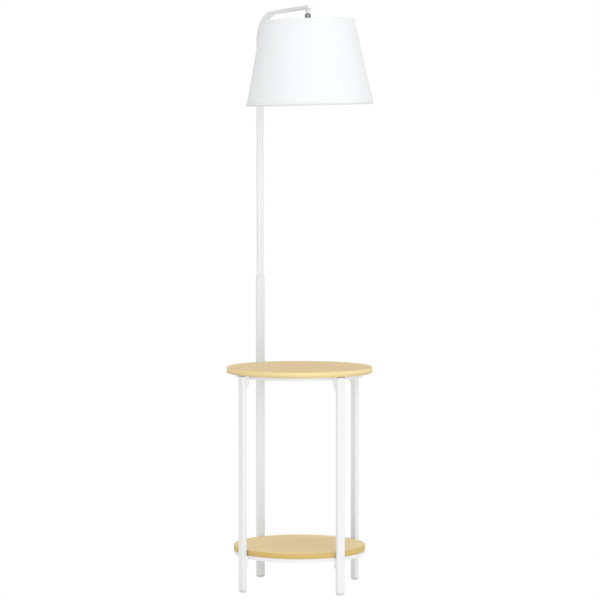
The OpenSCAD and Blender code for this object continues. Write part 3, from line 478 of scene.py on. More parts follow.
AT_IN = ("Vector", "Vector", None)
COLOUR_OUT, MASK_OUT, HEIGHT_OUT = ("Colour", "Color"), ("Mask", "Float"), ("Height", "Float")
MOTTLE = Mottle(
    "mottle",
    (AT_IN, ("Colour", "Color", (0.8, 0.8, 0.8, 1.0)),
     ("Scale", "Float", 20.0), ("Amount", "Float", 0.2)),
    (COLOUR_OUT, MASK_OUT))
PEEL = Peel("peel", (AT_IN, ("Scale", "Float", 900.0)), (HEIGHT_OUT,))
GRAIN = Grain(
    "grain",
    (AT_IN, ("Pale", "Color", (0.8, 0.7, 0.5, 1.0)), ("Deep", "Color", (0.6, 0.5, 0.3, 1.0))),
    (COLOUR_OUT, MASK_OUT, HEIGHT_OUT))
WEAVE = Weave("weave", (AT_IN, ("Threads", "Float", 2000.0)), (HEIGHT_OUT, MASK_OUT))


# ---------------------------------------------------------------- finishes


@dataclass(frozen=True)
class Finish:
    """One material: its name, colour and gloss, and the plain settings of its shader."""

    name: str
    colour: Colour
    roughness: float = 0.5
    metallic: float = 0.0
    coat: float = 0.0
    sheen: float = 0.0
    gloss: float = 0.5

    def material(self) -> bpy.types.Material:
        """Returns the material, which is built at its first use."""
        full = f"{self.name}_finish"
        found = bpy.data.materials.get(full)
        if found:
            return found
        made = bpy.data.materials.new(full)
        made.use_nodes = True
        made.diffuse_color = (*self.colour, 1.0)
        wiring = Wiring(made.node_tree)
        shader = made.node_tree.nodes["Principled BSDF"]
        plain = {
            "Base Color": self.colour, "Roughness": self.roughness, "Metallic": self.metallic,
            "Coat Weight": self.coat, "Sheen Weight": self.sheen, "Specular IOR Level": self.gloss}
        for name, value in plain.items():
            wiring.feed(shader.inputs[name], value)
        self.wire(wiring, shader)
        return made

    def wire(self, wiring: Wiring, shader: bpy.types.Node) -> None:
        """Adds what makes this finish more than a flat colour."""

    def place(self, wiring: Wiring, source: str = "Object") -> bpy.types.NodeSocket:
        """Returns the coordinates that the finish's patterns follow."""
        return wiring.add("TexCoord").outputs[source]

    def paint(self, wiring: Wiring, shader: bpy.types.Node, share: Any, colour: Colour) -> None:
        """Lays another colour over the one that the shader has, by a share."""
        under = shader.inputs["Base Color"].links[0].from_socket
        wiring.feed(shader.inputs["Base Color"], wiring.mix(share, under, colour))

    def dull(self, wiring: Wiring, shader: bpy.types.Node, mask: Any, less: float, more: float) -> None:
        """Takes the roughness from a little less to a little more than its own along a mask."""
        rough = wiring.spread(mask, self.roughness - less, self.roughness + more)
        wiring.feed(shader.inputs["Roughness"], rough)

    def bump(self, wiring: Wiring, shader: bpy.types.Node, height: Any, depth: float) -> None:
        """Feeds a height of that depth in metres to the shader's normal."""
        node = wiring.add("Bump", None, Strength=1.0, Distance=depth, Height=height)
        wiring.feed(shader.inputs["Normal"], node.outputs[0])


@dataclass(frozen=True)
class Coated(Finish):
    """A sprayed or moulded skin: a pebbled surface with a little change in tone and gloss."""

    pebble: float = 1.0 * MM
    depth: float = 0.012 * MM
    cloud: float = 60 * MM
    amount: float = 0.08

    def wire(self, wiring: Wiring, shader: bpy.types.Node) -> None:
        """Mottles the colour and gloss and raises the pebbles.

        Args:
            wiring: The material's wiring.
            shader: Its shader.
        """
        at = self.place(wiring)
        cloud = MOTTLE.use(
            wiring, Vector=at, Colour=self.colour, Scale=1 / self.cloud, Amount=self.amount)
        wiring.feed(shader.inputs["Base Color"], cloud["Colour"])
        self.dull(wiring, shader, cloud["Mask"], 0.06, 0.06)
        pebbles = PEEL.use(wiring, Vector=at, Scale=1 / self.pebble)
        self.bump(wiring, shader, pebbles["Height"], self.depth)


@dataclass(frozen=True)
class ShadowTopTube(Coated):
    """The coat on a short leg, with a narrow band of painted shadow at its top, just under the tabletop."""

    top: float = 592 * MM
    # The band of painted shadow at the top of the tube: its height, its soft lower edge, its ragged line and its
    # colour.
    rim: float = 2.4 * MM
    blend: float = 0.25 * MM
    ragged: float = 0.3 * MM
    nicks: float = 700.0
    bare: Colour = linear(112, 108, 104)

    def wire(self, wiring: Wiring, shader: bpy.types.Node) -> None:
        """Paints the band of painted shadow over the coat by height, with a ragged change.

        Args:
            wiring: The material's wiring.
            shader: Its shader.
        """
        super().wire(wiring, shader)
        at = self.place(wiring)
        uneven = wiring.math("MULTIPLY", wiring.noise(at, self.nicks), self.ragged)
        height = wiring.math("ADD", wiring.split(at)[2], uneven)
        edge = self.top - self.rim
        # Painted shadow over the top of the tube, where it meets the tabletop.
        self.paint(wiring, shader, wiring.ramp(height, edge, edge + self.blend), self.bare)


@dataclass(frozen=True)
class Oak(Finish):
    """Oak with a satin lacquer. The grain lies along x, or round the board on its edge band."""

    deep: Colour = (0.5, 0.4, 0.2)
    clouds: float = 7.0
    cloudy: float = 0.25
    neutral: float = 0.85
    depth: float = 0.02 * MM

    def lay(self, wiring: Wiring, shader: bpy.types.Node, grain: Any, colour: Any) -> None:
        """Feeds the colour, and lets the lacquer dull and the surface follow the grain.

        The colour is greyed for the light that it throws on to the white parts around it.

        Args:
            wiring: The material's wiring.
            shader: Its shader.
            grain: The grain's outputs.
            colour: The colour.
        """
        bounced = wiring.math(
            "MULTIPLY", wiring.add("LightPath").outputs["Is Diffuse Ray"], self.neutral)
        grey = wiring.add("RGBToBW", None, Color=colour).outputs[0]
        wiring.feed(shader.inputs["Base Color"], wiring.mix(bounced, colour, grey))
        self.dull(wiring, shader, grain["Mask"], 0.04, 0.05)
        self.bump(wiring, shader, grain["Height"], self.depth)

    def wire(self, wiring: Wiring, shader: bpy.types.Node) -> None:
        """Lays the grain along x under slow clouds.

        Args:
            wiring: The material's wiring.
            shader: Its shader.
        """
        at = self.place(wiring)
        grain = GRAIN.use(wiring, Vector=at, Pale=self.colour, Deep=self.deep)
        cloud = MOTTLE.use(
            wiring, Vector=at, Colour=grain["Colour"], Scale=self.clouds, Amount=self.cloudy)
        self.lay(wiring, shader, grain, cloud["Colour"])


@dataclass(frozen=True)
class OakBand(Oak):
    """Oak edge band: the grain wound round the board, with a painted highlight on the top arris and painted shade
    towards the bottom.
    """

    radius: float = 0.2
    face: float = 607 * MM
    band: float = 15 * MM
    arris: float = 2 * MM
    # lift brightens the top arris as a painted highlight; drop darkens the bottom of the band as painted shade.
    lift: float = 1.13
    drop: float = 0.86

    def wire(self, wiring: Wiring, shader: bpy.types.Node) -> None:
        """Runs the grain along the arc, worked out from the direction round the axis, and paints a highlight at the
        top arris and shade towards the bottom.

        Args:
            wiring: The material's wiring.
            shader: Its shader.
        """
        axes = wiring.split(self.place(wiring))
        angle = wiring.math("ARCTAN2", axes[1], axes[0])
        arc = wiring.math("MULTIPLY", angle, self.radius)
        at = wiring.add("CombineXYZ", None, X=arc, Y=axes[2], Z=0.0).outputs[0]
        grain = GRAIN.use(wiring, Vector=at, Pale=self.colour, Deep=self.deep)
        # Painted light: the colour goes from painted shade at the bottom of the band to a painted highlight at the top
        # arris.
        level = wiring.ramp(
            axes[2], self.face - self.band, self.face - self.arris, self.drop, self.lift, "SMOOTHSTEP")
        self.lay(wiring, shader, grain, wiring.scale(grain["Colour"], level))


@dataclass(frozen=True)
class Cloth(Finish):
    """A fine plain weave over the piece's own map, which is in metres."""

    pitch: float = 0.5 * MM
    depth: float = 0.05 * MM
    thick: float = 0.9

    def wire(self, wiring: Wiring, shader: bpy.types.Node) -> None:
        """Raises the threads and tints thick and thin ones apart.

        Args:
            wiring: The material's wiring.
            shader: Its shader.
        """
        weave = WEAVE.use(wiring, Vector=self.place(wiring, "UV"), Threads=1 / self.pitch)
        darker = tuple(self.thick * part for part in self.colour)
        wiring.feed(shader.inputs["Base Color"], wiring.mix(weave["Mask"], self.colour, darker))
        self.dull(wiring, shader, weave["Mask"], 0.1, 0.1)
        self.bump(wiring, shader, weave["Height"], self.depth)


@dataclass(frozen=True)
class Tape(Cloth):
    """A narrow folded tape whose fold is painted darker; on the bottom rim this is painted shade. Its map runs along
    and across the tape.
    """

    dust: float = 0.05
    fold_from: float = 5.2 * MM
    fold_to: float = 17 * MM
    blend: float = 1 * MM
    soil: Colour = linear(120, 118, 114)

    def wire(self, wiring: Wiring, shader: bpy.types.Node) -> None:
        """Darkens the weave between two lines across the tape.

        Args:
            wiring: The material's wiring.
            shader: Its shader.
        """
        super().wire(wiring, shader)
        across = wiring.split(self.place(wiring, "UV"))[1]
        # The darker fold: on the bottom tape it is painted shade.
        start = wiring.ramp(across, self.fold_from, self.fold_from + self.blend, 0.0, self.dust)
        end = wiring.ramp(across, self.fold_to, self.fold_to + self.blend, 1.0, 0.0)
        self.paint(wiring, shader, wiring.math("MULTIPLY", start, end), self.soil)


@dataclass(frozen=True)
class Plated(Finish):
    """Turned and plated metal, with fine lines left by the tool."""

    clouds: float = 180.0
    cloudy: float = 0.5
    lines: float = 0.25 * MM
    along: float = 90.0
    depth: float = 0.01 * MM

    def wire(self, wiring: Wiring, shader: bpy.types.Node) -> None:
        """Draws the tool's lines across the axis and clouds the plating.

        Args:
            wiring: The material's wiring.
            shader: Its shader.
        """
        at = self.place(wiring)
        cloud = MOTTLE.use(
            wiring, Vector=at, Colour=self.colour, Scale=self.clouds, Amount=self.cloudy)
        wiring.feed(shader.inputs["Base Color"], cloud["Colour"])
        scratch = wiring.noise(wiring.stretch(at, (self.along, self.along, 1 / self.lines)), 1.0, 2.0)
        self.dull(wiring, shader, scratch, 0.08, 0.1)
        self.bump(wiring, shader, scratch, self.depth)


@dataclass(frozen=True)
class Swivel(Plated):
    """The swivel's plating: polished bright on the neck and shoulder, satin and darker on the cup."""

    shoulder: float = 1570.6 * MM
    blend: float = 0.5 * MM
    bright: Colour = linear(226, 226, 227)
    polish: float = 0.16

    def wire(self, wiring: Wiring, shader: bpy.types.Node) -> None:
        """Changes from one to the other by height.

        Args:
            wiring: The material's wiring.
            shader: Its shader.
        """
        super().wire(wiring, shader)
        height = wiring.split(self.place(wiring))[2]
        above = wiring.ramp(height, self.shoulder - self.blend / 2, self.shoulder + self.blend / 2)
        self.paint(wiring, shader, above, self.bright)
        satin = shader.inputs["Roughness"].links[0].from_socket
        wiring.feed(shader.inputs["Roughness"], wiring.spread(above, satin, self.polish))


class Palette(Enum):
    """Every finish on the lamp. A node takes the one named by its slot, unless it has its own."""

    WHITE_METAL = Coated("white_metal", linear(227, 227, 228), 0.38)
    # Short legs: the white coat with a band of painted shadow at the top.
    CUT_LEG = ShadowTopTube("shadow_top_leg", linear(227, 227, 228), 0.38)
    FOOT_PLASTIC = Coated("foot_plastic", linear(207, 207, 207), 0.5, pebble=0.6 * MM)
    OAK_FACE = Oak("oak_face", linear(237, 212, 160), 0.5, gloss=0.3, deep=linear(221, 191, 135))
    # The shelf's face is a lighter copy of the tabletop's oak: painted light that makes up for the shade under the
    # tabletop.
    SHELF_FACE = Oak("lit_shelf_face", linear(252, 229, 170), 0.5, gloss=0.6, deep=linear(238, 210, 146))
    OAK_EDGE = OakBand("oak_edge", linear(230, 211, 158), 0.5, gloss=0.3, deep=linear(208, 185, 130))
    # The shelf's edge is a darker copy of the tabletop's edge: painted shade from the tabletop above, with its own
    # painted arris highlight and shade.
    SHELF_EDGE = OakBand(
        "shaded_shelf_edge", linear(210, 184, 114), 0.5, gloss=0.3, deep=linear(195, 165, 92),
        radius=0.181, face=117 * MM, lift=1.05, drop=0.92)
    ZINC_STEEL = Plated("zinc_steel", linear(196, 197, 200), 0.3, metallic=1.0)
    CAP_PLASTIC = Coated("cap_plastic", linear(245, 245, 245), 0.45, pebble=0.6 * MM)
    GLAND_RUBBER = Coated("gland_rubber", linear(222, 222, 220), 0.65, pebble=0.4 * MM, depth=0.02 * MM)
    LEAD_SHEATH = Coated("lead_sheath", linear(235, 235, 230), 0.5)
    CORE_INSULATION = Coated("core_insulation", linear(120, 84, 60), 0.45)
    SATIN_NICKEL = Swivel("satin_nickel", linear(146, 146, 148), 0.36, metallic=1.0)
    LINER_NYLON = Coated("liner_nylon", linear(228, 228, 222), 0.5)
    HOLDER_PLASTIC = Coated("holder_plastic", linear(240, 240, 238), 0.35, pebble=0.8 * MM)
    TERMINAL_CERAMIC = Coated("terminal_ceramic", linear(238, 235, 226), 0.6)
    CONTACT_BRASS = Plated("contact_brass", linear(214, 178, 96), 0.28, metallic=1.0)
    SHADE_BACKING = Coated("shade_backing", linear(247, 246, 243), 0.42, depth=0.006 * MM)
    SHADE_CLOTH = Cloth("shade_cloth", linear(234, 236, 237), 0.85, sheen=0.1)
    TOP_TAPE = Tape(
        "top_tape", linear(234, 236, 237), 0.85, sheen=0.1, pitch=0.35 * MM, depth=0.03 * MM)
    # Bottom tape: the darker fold is painted shade, a thin dark line along the shade's lower edge.
    RIM_TAPE = Tape(
        "rim_tape", linear(232, 234, 234), 0.85, sheen=0.1, pitch=0.35 * MM, depth=0.03 * MM, dust=0.2)
    OPAL_GLASS = Coated("opal_glass", linear(248, 246, 240), 0.12, depth=0.001 * MM, coat=0.6)
    BULB_METAL = Plated("bulb_metal", linear(206, 206, 210), 0.25, metallic=1.0)


OWN_FINISHES = {
    "shelf": Palette.SHELF_FACE, "shelf_band": Palette.SHELF_EDGE, "left_leg": Palette.CUT_LEG,
    "right_leg": Palette.CUT_LEG, "front_leg": Palette.CUT_LEG}


# ---------------------------------------------------------------- surfaces


def smooth_step(value: Array, start: float, end: float) -> Array:
    """Rises from 0 to 1 between two values, with level ends: 3t^2 - 2t^3.

    Args:
        value: Where to read the rise.
        start: The value at which it leaves 0.
        end: The value at which it reaches 1.

    Returns:
        The rise at each value.
    """
    share = np.clip((value - start) / (end - start), 0.0, 1.0)
    return share * share * (3 - 2 * share)


@dataclass(frozen=True)
class Axis:
    """A line that round pieces are turned about, with two directions square to it."""

    at: Array
    up: Array
    side: Array
    front: Array

    @classmethod
    def of_joint(cls, point: Sequence[float], up: Sequence[float]) -> Axis:
        """Makes an axis from a joint's point and direction.

        Args:
            point: A point on the axis.
            up: The direction of the axis.

        Returns:
            The axis, whose side is square to +Y and whose front leans as little from +Y as it can.
        """
        top = np.array(up) / np.linalg.norm(up)
        side = np.cross((0.0, 1.0, 0.0), top)
        side /= np.linalg.norm(side)
        return cls(np.array(point), top, side, np.cross(top, side))

    def turn(self, radius: Array, angle: Array, height: Array) -> Array:
        """Places points round the axis: radius times the turned direction, plus height times up.

        Args:
            radius: Distance from the axis.
            angle: Angle from the axis' side, towards its front.
            height: Distance along the axis.

        Returns:
            The points, with one more dimension than the inputs.
        """
        parts = np.broadcast_arrays(radius * np.cos(angle), radius * np.sin(angle), height)
        return self.at + sum(
            part[..., None] * way for part, way in zip(parts, (self.side, self.front, self.up)))


def shell(
    name: str, points: Array, wrapped: bool = False, maps: Array | None = None
) -> bpy.types.Object:
    """Makes one closed surface from rings of points: quads from ring to ring, and a cap on each end.

    The faces are turned round where the volume inside them, which is a sum of triple products,
    comes out negative.

    Args:
        name: The piece's name.
        points: Rings by points by coordinates. Each ring is closed.
        wrapped: Whether the last ring joins the first, in place of the caps.
        maps: Rings by points by two map coordinates, one ring and one point more where they close.

    Returns:
        The piece, smooth and with its faces outwards.
    """
    rings, count = points.shape[:2]
    ring, spot = np.meshgrid(
        np.arange(rings if wrapped else rings - 1), np.arange(count), indexing="ij")
    ahead, beside = (ring + 1) % rings, (spot + 1) % count
    faces = np.stack(
        [ring * count + spot, ahead * count + spot, ahead * count + beside, ring * count + beside],
        -1).reshape(-1, 4)
    flat = points.reshape(-1, 3)
    first, second, third, fourth = np.moveaxis(flat[faces] - flat.mean(0), 1, 0)
    volume = (first * np.cross(second, fourth) + third * np.cross(fourth, second)).sum()
    step = -1 if volume < 0 else 1
    rows = faces[:, ::step].tolist()
    if not wrapped:
        cap = np.arange(count)
        rows += [cap[::step].tolist(), (cap[::-step] + (rings - 1) * count).tolist()]
    mesh = bpy.data.meshes.new(name)
    mesh.from_pydata(flat, [], rows)
    mesh.polygons.foreach_set("use_smooth", np.ones(len(rows), bool))
    if maps is not None:
        corner = np.stack([maps[:-1, :-1], maps[1:, :-1], maps[1:, 1:], maps[:-1, 1:]], 2)
        corner = corner.reshape(-1, 4, 2)[:, ::step].reshape(-1, 2)
        rest = np.zeros((len(mesh.loops) - len(corner), 2))
        mesh.uv_layers.new(name="flat").data.foreach_set("uv", np.concatenate([corner, rest]).ravel())
    mesh.update()
    piece = bpy.data.objects.new(name, mesh)
    bpy.context.scene.collection.objects.link(piece)
    return piece


def fit(piece: bpy.types.Object, finish: Palette, body: str, node: str, slot: str) -> None:
    """Gives a piece its finish and says which body, node and slot it belongs to.

    Args:
        piece: The piece.
        finish: Its finish.
        body: The body that it rides on.
        node: The node that it replaces.
        slot: The record's material slot.
    """
    piece.data.materials.append(finish.value.material())
    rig.ride(piece, body)
    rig.replaces(piece, node)
    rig.slot(piece, slot)
    LOG.info("piece %s", piece.name)


def thicken(line: Array, thickness: float) -> Array:
    """Gives a line in the radius and height plane a thickness, half on each side of it.

    Args:
        line: Rings by points by radius and height.
        thickness: The thickness.

    Returns:
        Rings of twice the points, down one side and back up the other.
    """
    along = np.gradient(line, axis=-2)
    along /= np.linalg.norm(along, axis=-1, keepdims=True)
    square = np.stack([-along[..., 1], along[..., 0]], -1) * thickness / 2
    return np.concatenate([line + square, (line - square)[..., ::-1, :]], axis=-2)


# ---------------------------------------------------------------- studio


@dataclass(frozen=True)
class Softbox:
    """A large square light that faces the middle of the lamp."""

    name: str
    azimuth: float
    elevation: float
    distance: float
    size: float
    power: float
    aim: tuple[float, float, float] = (0.0, 0.0, 0.8)

    def hang(self) -> None:
        """Places the light at its distance, azimuth and elevation from the point it faces."""
        data = bpy.data.lights.new(self.name, "AREA")
        data.shape = "SQUARE"
        data.size = self.size
        data.energy = self.power
        light = bpy.data.objects.new(self.name, data)
        level = math.cos(self.elevation) * self.distance
        away = Vector((
            math.sin(self.azimuth) * level, -math.cos(self.azimuth) * level,
            math.sin(self.elevation) * self.distance))
        light.location = Vector(self.aim) + away
        light.rotation_euler = away.to_track_quat("Z", "Y").to_euler()
        bpy.context.scene.collection.objects.link(light)


@dataclass
class Studio:
    """A white floor and backdrop, soft light and the photograph's camera."""

    azimuth: float = math.radians(-35.45)
    distance: float = 7.331
    eye_height: float = 1.208
    pitch: float = math.radians(3.26)
    frame_px: float = 600.0
    focal_px: float = 2677.5
    sensor: float = 36.0
    clip_end: float = 200.0
    axis_px: float = 299.53
    floor_reach: float = 60.0
    floor_glow: float = 0.23
    world_light: float = 0.70
    backdrop: float = 1.0
    floor_colour: Colour = (0.94, 0.94, 0.94)
    floor_roughness: float = 0.9
    white: Colour = (1.0, 1.0, 1.0)
    black: Colour = (0.0, 0.0, 0.0)
    lights: tuple[Softbox, ...] = (
        Softbox("key", math.radians(-19.0), math.radians(16.0), 5.0, 3.2, 53.0),
        Softbox("low", math.radians(-24.0), math.radians(3.5), 4.6, 1.0, 20.0),
        Softbox("overhead", 0.0, math.radians(90.0), 3.8, 2.6, 50.0))

    def build(self) -> None:
        """Makes the camera, the floor, the world and the lights."""
        self.camera()
        self.floor()
        self.world()
        for light in self.lights:
            light.hang()
        bpy.context.scene.view_settings.view_transform = "Standard"
        LOG.info("studio: camera, floor, world and %d softboxes", len(self.lights))

    def camera(self) -> None:
        """Stands the camera at the photograph's distance, height and angle."""
        data = bpy.data.cameras.new("camera")
        data.sensor_width = self.sensor
        data.lens = self.focal_px / self.frame_px * self.sensor
        data.clip_end = self.clip_end
        camera = bpy.data.objects.new("camera", data)
        camera.location = (
            math.sin(self.azimuth) * self.distance, -math.cos(self.azimuth) * self.distance,
            self.eye_height)
        aside = math.atan((self.frame_px / 2 - self.axis_px) / self.focal_px)
        camera.rotation_euler = (math.pi / 2 - self.pitch, 0.0, self.azimuth - aside)
        bpy.context.scene.collection.objects.link(camera)
        bpy.context.scene.camera = camera

    def floor(self) -> None:
        """Lays a wide pale floor, which the camera sees as plain white, like the backdrop."""
        reach = self.floor_reach
        mesh = bpy.data.meshes.new("floor")
        mesh.from_pydata(
            [(-reach, -reach, 0), (reach, -reach, 0), (reach, reach, 0), (-reach, reach, 0)], [],
            [(0, 1, 2, 3)])
        floor = bpy.data.objects.new("floor", mesh)
        bpy.context.scene.collection.objects.link(floor)
        material = bpy.data.materials.new("floor")
        material.use_nodes = True
        shader = material.node_tree.nodes["Principled BSDF"]
        wiring = Wiring(material.node_tree)
        seen = wiring.add("LightPath").outputs["Is Camera Ray"]
        wires = {
            "Base Color": wiring.mix(seen, self.floor_colour, self.black),
            "Roughness": self.floor_roughness, "Specular IOR Level": 0.0,
            "Emission Color": self.white,
            "Emission Strength": wiring.spread(seen, self.floor_glow, 1.0)}
        for name, value in wires.items():
            wiring.feed(shader.inputs[name], value)
        mesh.materials.append(material)
        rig.stage(floor)

    def world(self) -> None:
        """Lights from all round, with a plain white backdrop behind the lamp."""
        world = bpy.data.worlds.new("studio")
        bpy.context.scene.world = world
        world.use_nodes = True
        wiring = Wiring(world.node_tree)
        light = world.node_tree.nodes["Background"].inputs
        seen = wiring.add("LightPath").outputs["Is Camera Ray"]
        wiring.feed(light["Color"], self.white)
        wiring.feed(light["Strength"], wiring.spread(seen, self.world_light, self.backdrop))


# ---------------------------------------------------------------- the lamp


@dataclass
class Frame:
    """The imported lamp: its nodes, their material slots and its joints.

    The ball's middle lies ball_drop below the arm, along the shade's own axis.
    """

    loaded: dict[str, Any] = field(default_factory=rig.load)
    ball_drop: float = 14.5 * MM

    def slot(self, node: str) -> str:
        """Returns the material slot of a node."""
        return next(
            part["material_slot"] for part in self.loaded["record"]["subparts"] if part["node"] == node)

    def joint(self, name: str) -> dict[str, Any]:
        """Returns a joint of the record by its name."""
        return next(joint for joint in self.loaded["joints"] if joint["name"] == name)

    def hanging_axis(self) -> Axis:
        """Returns the shade's axis, from the point level with the arm's underside."""
        up = np.array(self.joint("shade_turn")["axis"])
        ball = np.array(self.joint("shade_tilt")["pos_m"])
        return Axis.of_joint(ball + self.ball_drop * up / np.linalg.norm(up), up)

    def dress(self) -> None:
        """Gives every node the finish of its slot."""
        for name, node in self.loaded["nodes"].items():
            finish = (OWN_FINISHES.get(name) or Palette[self.slot(name).upper()]).value
            node.data.materials.clear()
            node.data.materials.append(finish.material())
            LOG.info("node %s: %s", name, finish.name)


@dataclass
class Feet:
    """The four rounded plastic plugs under the legs.

    Each shows below its leg with an edge rounded further at the leg's narrow ends than at its broad
    sides, and goes up into the tube as a smaller insert.
    """

    ring_radius: float = 189.5 * MM
    width: float = 24 * MM
    depth: float = 13.5 * MM
    corner: float = 3.5 * MM
    corner_least: float = 0.5 * MM
    corner_loss: float = 0.3
    height: float = 7 * MM
    edge: float = 6.5 * MM
    side_inset: float = 4.6 * MM
    end_inset: float = 8.4 * MM
    lip: float = 0.12 * MM
    insert: float = 14 * MM
    insert_inset: float = 1.6 * MM
    lead_in: float = 0.8 * MM
    lead_in_height: float = 1.5 * MM
    step: float = 0.1 * MM
    corner_points: int = 12
    edge_points: int = 13
    angles: dict[str, float] = field(
        default_factory=lambda: {"back": 90.0, "left": 180.0, "right": 0.0, "front": 270.0})

    def section(self, side: Array, end: Array, corner: Array) -> Array:
        """Draws round-cornered rectangles: each corner's centre plus a quarter turn of its radius.

        Args:
            side: How far each rectangle is drawn in from the leg's broad sides.
            end: How far it is drawn in from the leg's narrow ends.
            corner: Its corner radius.

        Returns:
            Rectangles by points by x along the leg's depth and y along its width.
        """
        turn = np.linspace(0.0, 0.5 * math.pi, self.corner_points)
        angle = (turn[None, :] + 0.5 * math.pi * np.arange(4)[:, None]).ravel()
        sign_x = np.repeat([1, -1, -1, 1], self.corner_points)
        sign_y = np.repeat([1, 1, -1, -1], self.corner_points)
        half_x = (self.depth / 2 - side - corner)[:, None]
        half_y = (self.width / 2 - end - corner)[:, None]
        radius = corner[:, None]
        return np.stack(
            [sign_x * half_x + radius * np.cos(angle), sign_y * half_y + radius * np.sin(angle)], -1)

    def build(self) -> None:
        """Lofts each plug from its flat sole, round the quarter-ellipse edge and up into the leg."""
        turn = np.linspace(0.0, 0.5 * math.pi, self.edge_points)
        top = self.height + self.insert
        level = np.concatenate([
            self.edge * (1 - np.cos(turn)),
            [self.edge + self.step, self.height - 2 * self.step, self.height, self.height],
            [top - self.lead_in_height, top]])
        above = [
            0.0, 0.0, self.lip, self.insert_inset, self.insert_inset, self.insert_inset + self.lead_in]
        side = np.concatenate([self.side_inset * (1 - np.sin(turn)), above])
        end = np.concatenate([self.end_inset * (1 - np.sin(turn)), above])
        corner = np.clip(
            self.corner - self.corner_loss * side, self.corner_least,
            self.depth / 2 - side - 2 * self.step)
        flat = self.section(side, end, corner)
        out, across = flat[..., 0] + self.ring_radius, flat[..., 1]
        for name, angle in self.angles.items():
            turned = math.radians(angle)
            points = np.stack([
                out * math.cos(turned) - across * math.sin(turned),
                out * math.sin(turned) + across * math.cos(turned),
                np.broadcast_to(level[:, None], out.shape)], -1)
            foot = shell(f"{name}_foot_plug", points)
            fit(foot, Palette.FOOT_PLASTIC, "stand", f"{name}_foot", "foot_plastic")


